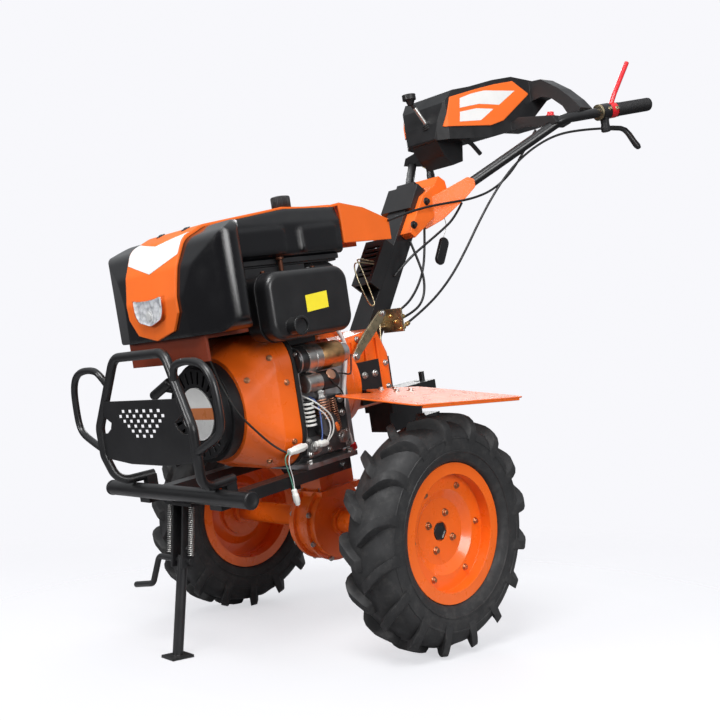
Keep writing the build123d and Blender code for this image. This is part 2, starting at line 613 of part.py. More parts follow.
def hand_lever():
    """The left hand lever under its grip, with the clamp that holds it."""
    clamp = rod(along_grip(140), along_grip(164), BAR_OD / 2 + 8)
    pivot = along_grip(152) + Vector(0, 0, -42)
    bracket = rod(along_grip(152) + Vector(0, 0, -12), pivot + Vector(0, 0, -8), 9)
    blade = bent([pivot, along_grip(100) + Vector(0, 6, -52), along_grip(69) + Vector(0, 14, -105)], 11, 30)
    return clamp.fuse(bracket, blade) - bar_path(BAR_OD + 2 * SEAT)


def engage_lever():
    """The raised lever on the left handlebar, in its clamp."""
    clamp = rod(along_grip(GRIP_L + 5), along_grip(GRIP_L + 25), BAR_OD / 2 + 7)
    root = along_grip(GRIP_L + 17)
    blade = bent([root + Vector(-2, 1, 13), root + Vector(-15, 9, 42), root + Vector(-69, 26, 121)], 12, 30)
    return clamp + blade - bar_path(BAR_OD + 2 * SEAT)


def throttle_lever():
    """The small throttle lever on the right handlebar, in its clamp."""
    clamp = rod(along_grip(GRIP_L + 5), along_grip(GRIP_L + 25), BAR_OD / 2 + 7)
    root = along_grip(GRIP_L + 17)
    blade = rod(root + Vector(0, 0, 14), root + Vector(-20, -8, 52), 5)
    return (clamp + blade - bar_path(BAR_OD + 2 * SEAT)).mirror(Plane.XZ)


def column_cover():
    """The forked cover: a cheek on each side of the column's head, an arm over each handlebar's root."""
    root, bend = Vector(*BAR_POINTS[0]), Vector(*BAR_POINTS[1])
    run = (bend - root).normalized()
    side_view = Plane(origin=root, x_dir=run, z_dir=run.cross(Vector(0, 0, 1)))
    outline = face([(-30, -30), (20, -34), (100, -22), (134, -13), (FORK_L, 4), (130, 18), (60, 24),
                    (-20, 32)], FORK_ROUND)
    arm = extrude(side_view * outline, amount=FORK_W / 2, both=True)
    head_x, head_z = COLUMN_HEAD
    cheeks = across(face([(head_x + 100, head_z - 112), (head_x + 84, head_z - 124),
                          (head_x + 6, head_z - 80), (head_x - 34, head_z - 16), (head_x - 16, head_z),
                          (head_x + 36, head_z - 26)]), CHEEKS_W)
    bridge = across(face([(head_x - 20, head_z), (head_x - 48, head_z - 28), (head_x - 70, head_z - 16),
                          (head_x - 64, head_z + 10), (head_x - 42, head_z + 22)]), CHEEKS_W - 14)
    throat = block((head_x - 26, head_x + 140), (-COLUMN_W / 2 - SEAT, COLUMN_W / 2 + SEAT),
                   (0, head_z + 100))
    tubes = both_sides(bar_path(BAR_OD + 2 * SEAT))
    return cheeks.fuse(*both_sides(arm)).cut(throat).fuse(bridge).cut(column_volume(SEAT), *tubes)


def column_volume(grow):
    """The column's outside with the handlebars' socket at its head, larger by grow all round."""
    foot, head = Vector(COLUMN_FOOT[0], 0, COLUMN_FOOT[1]), Vector(COLUMN_HEAD[0], 0, COLUMN_HEAD[1])
    run = head - foot
    up = (Align.CENTER, Align.CENTER, Align.MIN)
    base = Plane(origin=foot, x_dir=(0, 1, 0), z_dir=run)
    box = base * Box(COLUMN_W + 2 * grow, COLUMN_D + 2 * grow, run.length + grow, align=up)
    top = Plane(origin=head - run.normalized() * (SOCKET_H + 14 + grow), x_dir=(0, 1, 0), z_dir=run)
    return box + top * Box(SOCKET_W + 2 * grow, COLUMN_D + 10 + 2 * grow, SOCKET_H + 2 * grow, align=up)


def slotted_plate():
    """The slotted sheet in front of the column."""
    foot, head = Vector(COLUMN_FOOT[0], 0, COLUMN_FOOT[1]), Vector(COLUMN_HEAD[0], 0, COLUMN_HEAD[1])
    run = (head - foot).normalized()
    middle = foot + run * 200
    frame = Plane(origin=middle, x_dir=(0, 1, 0), z_dir=run)
    plate = frame * Pos(0, -COLUMN_D / 2 - 32, 0) * Box(64, 6, 120)
    walls = [frame * Pos(side * 29, -COLUMN_D / 2 - 16 - SEAT / 2, 0) * Box(6, 32 - SEAT, 120)
             for side in (-1, 1)]
    slots = [frame * Pos(0, -COLUMN_D / 2 - 32, 13 * step) * Box(44, 20, 6) for step in range(-3, 4)]
    return plate.fuse(*walls).cut(*slots)


def console():
    """The dash between the handlebars: a body, two arched wings and two tongues down to the tubes."""
    side_view = across(face(CONSOLE_SIDE, CONSOLE_ROUND), 2 * CONSOLE_PLAN[-1][1])
    body = side_view & upward(console_plan(0), *CONSOLE_SPAN)
    gate = across(face([(-506, 832), (-612, 832), (-602, 778), (-560, 768), (-530, 792)]), GATE_W)
    hook = bent([(-566, 76, 832), (-600, 80, 812), (-626, 82, 788)], HOOK_OD, 20)
    wing = forward(face([(130, 966), (182, 961), (232, 924), (268, 887), (286, 862), (276, 838), (256, 840),
                         (236, 878), (206, 906), (176, 917), (130, 910)]), -850, -792)
    tongue = forward(face([(100, 850), (150, 868), (200, 858), (250, 848), (260, 828), (236, 822), (170, 838),
                           (100, 838)]), -782, -716)
    tube = bar_path(BAR_OD + 2 * SEAT)
    sides = both_sides(wing - tube) + both_sides(tongue - tube)
    return body.fuse(gate, hook, *sides)


def console_plan(grow):
    """The dash's body seen from above, larger by grow all round."""
    outline = face(CONSOLE_PLAN + [(x, -y) for x, y in reversed(CONSOLE_PLAN)])
    return offset(outline, grow) if grow else outline


def console_panel():
    """The coloured panels on the dash's two sides."""
    ring = upward(console_plan(SEAT + PANEL_T), *CONSOLE_SPAN) - upward(console_plan(SEAT), *CONSOLE_SPAN)
    outline = face([(-538, 930), (-513, 858), (-649, 855), (-690, 866), (-784, 932), (-735, 966), (-672, 958),
                    (-600, 944)], 3)
    return both_sides(ring & across(outline, 200, 110))


def gear_lever():
    """The gear stick and its knob, in front of the dash."""
    stick = rod((-514, 15, 868), (-474, 5, 930), 5)
    knob = Pos(-470, 4, 944) * Cylinder(17, 13)
    neck = Pos(-472, 4.5, 932) * Cone(7, 13, 15)
    return stick.fuse(knob, neck) - across(offset(face(CONSOLE_SIDE, CONSOLE_ROUND), SEAT), 200)


def fender():
    """The left fender: a flat sheet that falls to the rear and the outside, with a turned-down lip."""
    rear, front = FENDER_X
    inner, outer = FENDER_Y
    outline = face([(rear, inner), (FENDER_STEP_X - 40, inner), (FENDER_STEP_X, FENDER_STEP_Y),
                    (front, FENDER_STEP_Y), (front, outer), (rear, outer)])
    sheet = upward(Pos(0, -WHEEL_Y) * outline, 0, FENDER_T)
    lip = block((rear, front), (outer - WHEEL_Y - FENDER_T, outer - WHEEL_Y), (-FENDER_LIP, FENDER_T))
    return FENDER_PLACE * (sheet + lip)


def fender_bracket():
    """The left bracket from the gearbox's side out under the fender."""
    inner = CASE_W / 2 + RIB_H + SEAT
    arm = FENDER_PLACE * block((-152, -84), (inner + 4 - WHEEL_Y, 190 - WHEEL_Y), (-10, -SEAT))
    foot = block((-152, -84), (inner, inner + 8), (236, 330))
    return arm + foot


LINK_T = 5.0
LINK_Y = 78.0
ANGLE_X = -236.0
HITCH_PIN_R = 8.0
HITCH_X = -352.0


def hitch():
    """The tool socket behind the gearbox: a box with a cross-drilled jaw, its pin holes and a latch post."""
    arm = block((HITCH_X + 34, CASE_X[0] - SEAT), (-34, 34), (150, 246))
    plate = block((CASE_X[0] - SEAT - 12, CASE_X[0] - SEAT), (-46, 46), (196, 328))
    jaw = [block((HITCH_X - 28, HITCH_X + 40), (-34, 34), z) for z in ((150, 166), (222, 246))]
    post = rod((HITCH_X - 19, 0, 240), (HITCH_X - 19, 0, 268), 7)
    pin = rod((HITCH_X, 0, 100), (HITCH_X, 0, 300), HITCH_PIN_R + 0.25)
    return arm.fuse(plate, post, *jaw) - pin


def shift_linkage():
    """The bent plated arm on the gearbox's left side, and the angle on the column that takes the cables."""
    arm = across(face([(-74, 338), (-84, 338), (-148, 386), (-192, 424), (-186, 436), (-174, 434),
                       (-118, 392), (-72, 350)], 4), LINK_T, LINK_Y)
    boss = rod((-80, CASE_W / 2 + RIB_H + SEAT, 345), (-80, LINK_Y, 345), 7)
    face_y = COLUMN_W / 2 + SEAT
    angle = (block((ANGLE_X, ANGLE_X + 30), (face_y, face_y + LINK_T), (394, 422))
             + block((ANGLE_X, ANGLE_X + LINK_T), (face_y, face_y + 62), (380, 434)))
    return [arm + boss, angle]


def stand_hinge():
    """The stand's hinge point in the parked chassis."""
    lean = radians(NOSE_DOWN)
    bar_x = CROSSBAR_X * cos(lean) + CROSSBAR_Z * sin(lean)
    bar_z = TYRE_R - CROSSBAR_X * sin(lean) + CROSSBAR_Z * cos(lean)
    return Vector(bar_x - STAND_BACK, 0, bar_z - STAND_DROP)


def stand_bracket():
    """Two hanging cheeks from the crossbar down to the stand's hinge, drawn as parked."""
    hinge = stand_hinge()
    bar_z = hinge.Z + STAND_DROP
    bar_x = hinge.X + STAND_BACK
    cheeks = [block((hinge.X - 12, hinge.X + 14), (side * 17 - 2.5, side * 17 + 2.5),
                    (hinge.Z - 12, bar_z + 4)) for side in (-1, 1)]
    web = block((hinge.X - 12, hinge.X - 8), (-19, 19), (hinge.Z + 26, bar_z - 6))
    bar_low = bar_z - CROSSBAR_OD / 2
    ears = block((hinge.X - 8, hinge.X + 14), (-46, 46), (bar_low - 8, bar_low - 2))
    bar = rod((bar_x, -300, bar_z), (bar_x, 300, bar_z), CROSSBAR_OD / 2 + SEAT)
    pin = rod((hinge.X, -60, hinge.Z), (hinge.X, 60, hinge.Z), STAND_ROD_R + RUN)
    return web.fuse(*cheeks, ears) - bar - pin


def stand_leg():
    """The folding leg: a tube with its hinge rod, foot plate and foot pedal, drawn as parked."""
    hinge = stand_hinge()
    foot_x = hinge.X + FOOT_AHEAD
    tube = rod((foot_x, 0, FOOT_T - 1), (hinge.X, 0, hinge.Z + 10), STAND_TUBE / 2)
    foot = block((foot_x - FOOT_L / 2, foot_x + FOOT_L / 2), (-FOOT_W / 2, FOOT_W / 2), (0, FOOT_T))
    hinge_rod = rod((hinge.X, -44, hinge.Z), (hinge.X, 30, hinge.Z), STAND_ROD_R)
    pedal = bent([(hinge.X, -40, hinge.Z), (hinge.X, -84, hinge.Z), (hinge.X, -104, hinge.Z - 56),
                  (hinge.X, -168, hinge.Z - 66)], 2 * STAND_ROD_R, 14)
    return tube.fuse(foot, hinge_rod, pedal)


def stand_springs():
    """The two return springs beside the stand's cheeks, as plain closed coils."""
    hinge = stand_hinge()
    bar_z = hinge.Z + STAND_DROP
    return [rod((hinge.X + 6, y, hinge.Z + 12), (hinge.X + 6, y, bar_z - CROSSBAR_OD / 2 - 8), 6)
            for y in (-36, 36)]


CABLE_OD = 6.0
HOSE_OD = 9.0
CORDS = {
    "clutch_cable": (CABLE_OD, [(-871.3, 296.4, 808), (-813, 271, 810), (-745, 231, 804), (-684, 192, 774),
                                (-625, 165, 730), (-575, 142, 674), (-529, 122, 613), (-482, 108, 551),
                                (-428, 99, 494), (-364, 94, 448), (-294, 88, 412), (-238.5, 82, 389)]),
    "throttle_cable": (CABLE_OD, [(-716, 196, 824), (-675, 182, 775), (-637, 158, 722), (-583, 135, 685),
                                  (-518, 117, 669), (-451, 102, 665), (-383, 87, 660), (-315, 75, 649),
                                  (-262, 64.7, 636)]),
    "key_wire": (CABLE_OD, [(-512, 89, 664.5), (-480, 85, 628), (-427, 78, 599), (-373, 68, 571),
                            (-322, 52, 541), (-292, 32.2, 508)]),
    "shift_cable": (CABLE_OD, [(-408, 46, 615), (-396, 49, 570), (-374, 53, 513), (-334, 57, 467),
                               (-284, 58, 432), (-238, 56, 420)]),
    "brake_cable": (CABLE_OD, [(-348, 46, 586), (-354, 57, 542), (-356, 69, 487), (-333, 73, 437),
                               (-281, 73, 414), (-237, 71, 406)]),
    "breather_hose": (HOSE_OD, [(41.5, 86, 442), (-2, 101, 432), (-28, 112, 383), (-12, 112, 325),
                                (6, 112, 267), (10, 112, 206), (-3, 112, 160)]),
}


def cord(outside, points):
    """A cable along straight runs, each bend as wide as its runs allow."""
    spots = [Vector(*point) for point in points]
    radii = []
    for before, at, after in zip(spots, spots[1:], spots[2:]):
        turn = (at - before).get_angle(after - at)
        shorter = min((at - before).length, (after - at).length)
        radii.append(0.45 * shorter / tan(radians(turn / 2)))
    path = FilletPolyline(*points, radius=radii)
    return sweep(Plane(origin=path @ 0, z_dir=path % 0) * Circle(outside / 2), path=path)


PARK = Pos(0, 0, TYRE_R) * Rot(0, NOSE_DOWN, 0)


def wheel_node(solid, side):
    """A left wheel's piece, at its own height, or its mirror image for the right."""
    placed = Pos(0, 0, TYRE_R) * solid
    return placed if side > 0 else placed.mirror(Plane.XZ)


def chassis(solid):
    """A piece, or several that make one node, tipped with the chassis."""
    if isinstance(solid, list):
        return Compound([PARK * piece.solid() for piece in solid])
    return PARK * solid


nodes = {}
for name, side in (("left", 1), ("right", -1)):
    nodes[f"tyre_{name}"] = wheel_node(Pos(0, WHEEL_Y, 0) * tyre(), side)
    nodes[f"rim_{name}"] = wheel_node(Pos(0, WHEEL_Y, 0) * rim(), side)
    nodes[f"hub_{name}"] = wheel_node(hub(), side)
    nodes[f"axle_{name}"] = wheel_node(axle(), side)

for maker in (final_drive, gearbox, engine_block, blower_housing, recoil_starter, recoil_disc,
              cylinder_shroud, muffler, air_cleaner, starter_motor, injection_pump, fuel_tank, tank_cover,
              headlamp, fuel_cap, tank_support, rail_tie, crossbar, bumper_hoop, bumper_wings, bumper_plate,
              column, column_cover, slotted_plate, console, console_panel, gear_lever, engage_lever,
              throttle_lever, hitch, shift_linkage):
    nodes[maker.__name__] = chassis(maker())

for maker in (handlebar, grip, hand_lever, fender, fender_bracket, rail):
    left = maker()
    nodes[f"{maker.__name__}_left"] = chassis(left)
    nodes[f"{maker.__name__}_right"] = chassis(left.mirror(Plane.XZ))

for name, (outside, points) in CORDS.items():
    nodes[name] = chassis(cord(outside, points))

nodes["stand_bracket"] = stand_bracket()
nodes["stand_leg"] = stand_leg()
nodes["stand_springs"] = Compound(stand_springs())

boxes = [solid.bounding_box() for solid in nodes.values()]
AXLE_X = -(min(box.min.X for box in boxes) + max(box.max.X for box in boxes)) / 2

os.makedirs("parts", exist_ok=True)
for name, solid in nodes.items():
    export_step(Pos(AXLE_X, 0, 0) * solid, f"parts/{name}.step")
print("axle ahead of origin", round(AXLE_X, 4), "stand hinge", stand_hinge() + Vector(AXLE_X, 0, 0))
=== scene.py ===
import json
import math

import bmesh
import bpy
from mathutils import Matrix, Vector
from mathutils.bvhtree import BVHTree


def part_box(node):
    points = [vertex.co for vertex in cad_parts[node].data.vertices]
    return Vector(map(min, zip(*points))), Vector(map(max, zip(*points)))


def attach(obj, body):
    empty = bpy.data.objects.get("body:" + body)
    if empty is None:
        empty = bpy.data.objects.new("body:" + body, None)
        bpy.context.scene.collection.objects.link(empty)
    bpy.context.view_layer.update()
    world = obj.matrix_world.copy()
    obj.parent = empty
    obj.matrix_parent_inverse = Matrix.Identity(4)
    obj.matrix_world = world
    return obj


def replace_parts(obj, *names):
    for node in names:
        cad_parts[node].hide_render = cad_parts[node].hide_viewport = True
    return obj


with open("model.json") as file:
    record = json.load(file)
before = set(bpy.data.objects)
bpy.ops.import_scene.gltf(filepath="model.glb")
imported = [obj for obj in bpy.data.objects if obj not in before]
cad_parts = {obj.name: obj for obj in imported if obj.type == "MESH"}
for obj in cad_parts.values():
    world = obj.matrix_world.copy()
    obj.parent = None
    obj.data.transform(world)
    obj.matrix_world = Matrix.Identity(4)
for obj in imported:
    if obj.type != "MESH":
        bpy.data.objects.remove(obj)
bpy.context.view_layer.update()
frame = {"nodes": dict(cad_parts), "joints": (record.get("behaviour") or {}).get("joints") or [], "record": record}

# The chassis is drawn level in millimetres from the middle of the axle, and leans forward as it is parked.
NOSE_DOWN = math.radians(12.0)
MM = 0.001
joints = {joint["name"]: joint for joint in frame["joints"]}
left_wheel = Vector(joints["wheel_left_spin"]["pos_m"])
STAND_HINGE = Vector(joints["stand_fold"]["pos_m"])
AXLE = Vector((left_wheel.x, 0, left_wheel.z))
CHASSIS = Matrix.Translation(AXLE) @ Matrix.Rotation(NOSE_DOWN, 4, "Y")


def level(x, y, z):
    """A point of the level chassis, in millimetres from the axle, as a place in the parked machine."""
    return CHASSIS @ Vector((x * MM, y * MM, z * MM))


def aim(x, y, z):
    """A direction on the level chassis, turned with the parked machine."""
    return (CHASSIS.to_3x3() @ Vector((x, y, z))).normalized()


def levels(points):
    """Level points as places in the parked machine."""
    return [level(*point) for point in points]


ALONG, OUTWARD, UP = aim(1, 0, 0), aim(0, 1, 0), aim(0, 0, 1)
SIDES = (("left", 1), ("right", -1))


# Materials


class Nodes:
    """Builds one node material around a principled shader."""

    def __init__(self, name, **constants):
        self.material = bpy.data.materials.new(name)
        self.material.use_nodes = True
        self.tree = self.material.node_tree
        self.shader = self.tree.nodes["Principled BSDF"]
        for socket, value in constants.items():
            self.shader.inputs[socket.replace("_", " ")].default_value = value
        coordinates = self.add("ShaderNodeTexCoord")
        self.place = coordinates.outputs["Object"]

    def add(self, kind, **settings):
        node = self.tree.nodes.new(kind)
        for key, value in settings.items():
            setattr(node, key, value)
        return node

    def link(self, source, target):
        self.tree.links.new(source, target)

    def noise(self, scale, detail, roughness=0.55, stretch=None):
        """A noise value over the object, its features about 1 / scale metres across."""
        node = self.add("ShaderNodeTexNoise")
        node.inputs["Scale"].default_value = scale
        node.inputs["Detail"].default_value = detail
        node.inputs["Roughness"].default_value = roughness
        place = self.place
        if stretch:
            mapping = self.add("ShaderNodeMapping")
            mapping.inputs["Scale"].default_value = stretch
            self.link(place, mapping.inputs["Vector"])
            place = mapping.outputs["Vector"]
        self.link(place, node.inputs["Vector"])
        return node.outputs["Fac"]

    def ramp(self, value, stops):
        """Colours along a value, from (position, colour) stops."""
        node = self.add("ShaderNodeValToRGB")
        ramp = node.color_ramp
        while len(ramp.elements) < len(stops):
            ramp.elements.new(0.5)
        for element, (position, colour) in zip(ramp.elements, stops):
            element.position = position
            element.color = (*colour, 1.0)
        self.link(value, node.inputs["Fac"])
        return node.outputs["Color"]

    def spread(self, value, low, high, from_low=0.3, from_high=0.7):
        """A value stretched onto a new range."""
        node = self.add("ShaderNodeMapRange")
        limits = (("From Min", from_low), ("From Max", from_high), ("To Min", low), ("To Max", high))
        for socket, number in limits:
            node.inputs[socket].default_value = number
        self.link(value, node.inputs["Value"])
        return node.outputs["Result"]

    def multiply(self, first, second):
        node = self.add("ShaderNodeMath", operation="MULTIPLY")
        self.link(first, node.inputs[0])
        self.link(second, node.inputs[1])
        return node.outputs["Value"]

    def over(self, colour, worn, mask):
        """One colour laid over another where a mask is high."""
        node = self.add("ShaderNodeMix", data_type="RGBA")
        self.link(mask, node.inputs["Factor"])
        self.link(colour, node.inputs["A"])
        node.inputs["B"].default_value = (*worn, 1.0)
        return node.outputs["Result"]

    def colour(self, output):
        self.link(output, self.shader.inputs["Base Color"])

    def rough(self, output):
        self.link(output, self.shader.inputs["Roughness"])

    def soft_edges(self, radius):
        """Rounds the look of sharp edges, and gives a mask that is high along them."""
        bevel = self.add("ShaderNodeBevel", samples=4)
        bevel.inputs["Radius"].default_value = radius
        self.link(bevel.outputs["Normal"], self.shader.inputs["Normal"])
        geometry = self.add("ShaderNodeNewGeometry")
        dot = self.add("ShaderNodeVectorMath", operation="DOT_PRODUCT")
        self.link(bevel.outputs["Normal"], dot.inputs[0])
        self.link(geometry.outputs["Normal"], dot.inputs[1])
        return self.spread(dot.outputs["Value"], 0.0, 1.0, 0.97, 0.80)

    def upward(self):
        """High on faces that look up, where dust settles."""
        geometry = self.add("ShaderNodeNewGeometry")
        parts = self.add("ShaderNodeSeparateXYZ")
        self.link(geometry.outputs["Normal"], parts.inputs["Vector"])
        return self.spread(parts.outputs["Z"], 0.0, 1.0, 0.2, 1.0)

    def bump(self, height, strength, distance):
        """Adds a bump on top of any earlier one."""
        node = self.add("ShaderNodeBump")
        node.inputs["Strength"].default_value = strength
        node.inputs["Distance"].default_value = distance
        self.link(height, node.inputs["Height"])
        earlier = self.shader.inputs["Normal"]
        if earlier.is_linked:
            self.link(earlier.links[0].from_socket, node.inputs["Normal"])
        self.link(node.outputs["Normal"], earlier)


def shade(colour, factor):
    """A colour made darker or lighter."""
    return tuple(min(1.0, channel * factor) for channel in colour)


def coated(name, colour, rough, spread, coat, peel, dust=0.10, wear=None, edge=0.0016):
    """Paint or gloss plastic: mottling, uneven gloss, orange peel, worn edges and a film of dust."""
    nodes = Nodes(name, Coat_Weight=coat, Coat_Roughness=0.08, IOR=1.5)
    edges = nodes.soft_edges(edge)
    tones = [(0.25, shade(colour, 1 - dust)), (0.55, colour), (0.8, shade(colour, 1 + dust))]
    base = nodes.ramp(nodes.noise(9, 4), tones)
    scuff = nodes.spread(nodes.noise(70, 5, 0.7), 0.0, 0.55, 0.45, 0.7)
    base = nodes.over(base, wear or shade(colour, 1.5), nodes.multiply(edges, scuff))
    film = nodes.multiply(nodes.upward(), nodes.spread(nodes.noise(22, 6, 0.7), 0.0, 0.07, 0.45, 0.75))
    nodes.colour(nodes.over(base, (0.30, 0.27, 0.24), film))
    nodes.rough(nodes.spread(nodes.noise(28, 5), rough, rough + spread))
    nodes.bump(nodes.noise(420, 2), peel, 0.0006)
    return nodes.material


def moulded(name, colour, rough, grain):
    """Matt moulded plastic with a fine leather-like grain."""
    nodes = Nodes(name, IOR=1.46)
    edges = nodes.soft_edges(0.0018)
    base = nodes.ramp(nodes.noise(14, 4), [(0.3, shade(colour, 0.8)), (0.7, shade(colour, 1.25))])
    scuff = nodes.multiply(edges, nodes.spread(nodes.noise(60, 4), 0.1, 0.6))
    nodes.colour(nodes.over(base, shade(colour, 3.0), scuff))
    nodes.rough(nodes.spread(nodes.noise(40, 4), rough - 0.06, rough + 0.1))
    nodes.bump(nodes.noise(900, 3), grain, 0.0005)
    return nodes.material


def metal(name, colour, rough, grain, stretch=None, tarnish=0.72):
    """Bare or plated metal with streaked gloss."""
    nodes = Nodes(name, Metallic=1.0)
    nodes.soft_edges(0.0012)
    streak = nodes.noise(60, 4, stretch=stretch)
    nodes.colour(nodes.ramp(streak, [(0.3, shade(colour, tarnish)), (0.7, colour)]))
    nodes.rough(nodes.spread(nodes.noise(90, 4), rough - 0.08, rough + 0.14))
    nodes.bump(nodes.noise(500, 3), grain, 0.0004)
    return nodes.material


def rubber(name, colour):
    """Tyre rubber with a dusty bloom and fine mould lines."""
    nodes = Nodes(name, IOR=1.45)
    bloom = nodes.noise(16, 6, 0.65)
    base = nodes.ramp(bloom, [(0.3, shade(colour, 0.7)), (0.6, colour), (0.8, shade(colour, 1.6))])
    dust = nodes.spread(nodes.noise(45, 6, 0.75), 0.0, 0.22, 0.5, 0.8)
    nodes.colour(nodes.over(base, (0.16, 0.15, 0.14), dust))
    nodes.rough(nodes.spread(nodes.noise(34, 5), 0.50, 0.78))
    nodes.bump(nodes.noise(260, 5), 0.22, 0.0008)
    return nodes.material


def glass(name):
    """The lamp's clear moulded lens, fluted inside."""
    nodes = Nodes(name, Transmission_Weight=1.0, IOR=1.12)
    nodes.colour(nodes.ramp(nodes.noise(12, 2), [(0.3, (0.95, 0.96, 0.97)), (0.7, (0.99, 0.99, 1.0))]))
    nodes.rough(nodes.spread(nodes.noise(40, 3), 0.02, 0.07))
    flutes = nodes.add("ShaderNodeTexWave", bands_direction="Y")
    flutes.inputs["Scale"].default_value = 42
    nodes.link(nodes.place, flutes.inputs["Vector"])
    nodes.bump(flutes.outputs["Fac"], 0.2, 0.0008)
    return nodes.material


def reflector(name):
    """Pressed reflector with small facets, each with a painted glint: near white in its middle, with painted shade
    darker towards its rim.
    """
    nodes = Nodes(name, Metallic=0.1, Coat_Weight=0.5)
    cells = nodes.add("ShaderNodeTexVoronoi")
    cells.inputs["Scale"].default_value = 95
    nodes.link(nodes.place, cells.inputs["Vector"])
    # Painted glints and shade: each facet is near white in its middle and darker towards its rim
    painted_facet_glints = [(0.05, (0.97, 0.97, 0.98)), (0.55, (0.86, 0.87, 0.89)), (0.95, (0.40, 0.41, 0.44))]
    nodes.colour(nodes.ramp(cells.outputs["Distance"], painted_facet_glints))
    nodes.rough(nodes.spread(nodes.noise(30, 3), 0.12, 0.30))
    nodes.bump(cells.outputs["Distance"], 0.6, 0.003)
    return nodes.material


def printed(name, colour, rough):
    """A plain coloured sheet with a faint film of dirt."""
    nodes = Nodes(name, Coat_Weight=0.2, Coat_Roughness=0.15)
    nodes.colour(nodes.ramp(nodes.noise(26, 5, 0.65), [(0.25, shade(colour, 0.94)), (0.6, colour)]))
    nodes.rough(nodes.spread(nodes.noise(50, 4), rough, rough + 0.15))
    nodes.bump(nodes.noise(160, 2), 0.02, 0.0003)
    return nodes.material


def banded_disc(name, middle, half_height):
    """White enamel with one plain warm band across the disc's middle."""
    nodes = Nodes(name, Coat_Weight=0.4, Coat_Roughness=0.1)
    parts = nodes.add("ShaderNodeSeparateXYZ")
    nodes.link(nodes.place, parts.inputs["Vector"])
    low = nodes.spread(parts.outputs["Z"], 0.0, 1.0, middle - half_height - 0.0006, middle - half_height)
    high = nodes.spread(parts.outputs["Z"], 1.0, 0.0, middle + half_height, middle + half_height + 0.0006)
    white = nodes.ramp(nodes.noise(15, 3), [(0.3, (0.72, 0.72, 0.71)), (0.7, (0.84, 0.84, 0.83))])
    nodes.colour(nodes.over(white, (0.62, 0.20, 0.07), nodes.multiply(low, high)))
    nodes.rough(nodes.spread(nodes.noise(40, 4), 0.25, 0.42))
    nodes.bump(nodes.noise(300, 2), 0.04, 0.0004)
    return nodes.material


disc_low, disc_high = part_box("recoil_disc")
DISC_MIDDLE = (disc_low.z + disc_high.z) / 2
DISC_BAND = 0.011

# One row for each finish: its function, its name and the function's other values in order
SLOT_FINISHES = (
    (coated, "orange_paint", (0.87, 0.135, 0.008), 0.24, 0.12, 0.4, 0.02, 0.10, (0.95, 0.30, 0.08)),
    (coated, "orange_plastic", (0.88, 0.15, 0.010), 0.46, 0.10, 0.05, 0.015, 0.08, (0.95, 0.34, 0.12), 0.003),
    (coated, "black_paint", (0.011, 0.011, 0.012), 0.28, 0.14, 0.15, 0.08, 0.25, (0.05, 0.05, 0.05)),
    (coated, "tank_black", (0.005, 0.005, 0.006), 0.10, 0.08, 0.3, 0.03, 0.25, (0.010, 0.010, 0.011), 0.014),
    (moulded, "black_plastic", (0.009, 0.009, 0.010), 0.38, 0.12),
    (rubber, "rubber_tyre", (0.020, 0.020, 0.021)),
    (moulded, "grip_rubber", (0.010, 0.010, 0.011), 0.58, 0.2),
    (metal, "engine_alloy", (0.55, 0.55, 0.56), 0.40, 0.35),
    (metal, "zinc_steel", (0.66, 0.56, 0.36), 0.30, 0.05),
    (glass, "lens"),
    (banded_disc, "white_disc", DISC_MIDDLE, DISC_BAND),
    (coated, "red_plastic", (0.70, 0.012, 0.020), 0.28, 0.1, 0.4, 0.03),
    (coated, "white_hose", (0.78, 0.75, 0.74), 0.4, 0.1, 0.1, 0.03, 0.06, (0.8, 0.8, 0.8)),
)
EXTRA_FINISHES = (
    (printed, "bare_white", (0.80, 0.80, 0.79), 0.26),
    (printed, "bare_yellow", (0.86, 0.74, 0.03), 0.36),
    (metal, "dark_casting", (0.20, 0.20, 0.205), 0.46, 0.4),
    # Painted shade: orange paint darkened to the tone of the fan housing in shade under the tank's lobe
    (coated, "deep_orange", (0.17, 0.022, 0.004), 0.42, 0.12, 0.05, 0.02, 0.12, (0.24, 0.06, 0.02)),
    (metal, "painted_bolt", (0.62, 0.30, 0.16), 0.34, 0.1),
    (metal, "bright_zinc", (0.56, 0.55, 0.53), 0.34, 0.05),
    (metal, "brass", (0.74, 0.52, 0.22), 0.26, 0.05),
    (metal, "bronze", (0.50, 0.30, 0.14), 0.36, 0.15, (1, 8, 8)),
    (metal, "copper", (0.72, 0.38, 0.25), 0.32, 0.08),
    (reflector, "reflector"),
    (moulded, "seal", (0.010, 0.010, 0.010), 0.6, 0.2),
    (moulded, "connector", (0.72, 0.72, 0.68), 0.4, 0.05),
    (moulded, "wire_green", (0.10, 0.28, 0.20), 0.4, 0.05),
    (moulded, "wire_blue", (0.10, 0.16, 0.42), 0.4, 0.05),
    (metal, "heat_tint", (0.13, 0.055, 0.035), 0.5, 0.3, None, 0.5),
)
finishes = {name: make(name, *values) for make, name, *values in SLOT_FINISHES}
extras = {name: make(name, *values) for make, name, *values in EXTRA_FINISHES}


def dress(node, material):
    """Gives a CAD node its finish."""
    slots = frame["nodes"][node].data.materials
    slots.clear()
    slots.append(material)


for entry in frame["record"]["subparts"]:
    dress(entry["node"], finishes[entry["material_slot"]])
dress("injection_pump", extras["dark_casting"])
# The tank support takes orange paint darkened with painted shade, the tone of the housing in shade under the
# tank's lobe
dress("tank_support", extras["deep_orange"])


# Ways of making pieces


def place(name, data, material, body="chassis"):
    """Makes a piece of a mesh or curve, with a finish, that rides on a body."""
    data.materials.append(finishes.get(material) or extras[material])
    piece = bpy.data.objects.new(name, data)
    bpy.context.scene.collection.objects.link(piece)
    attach(piece, body)
    return piece


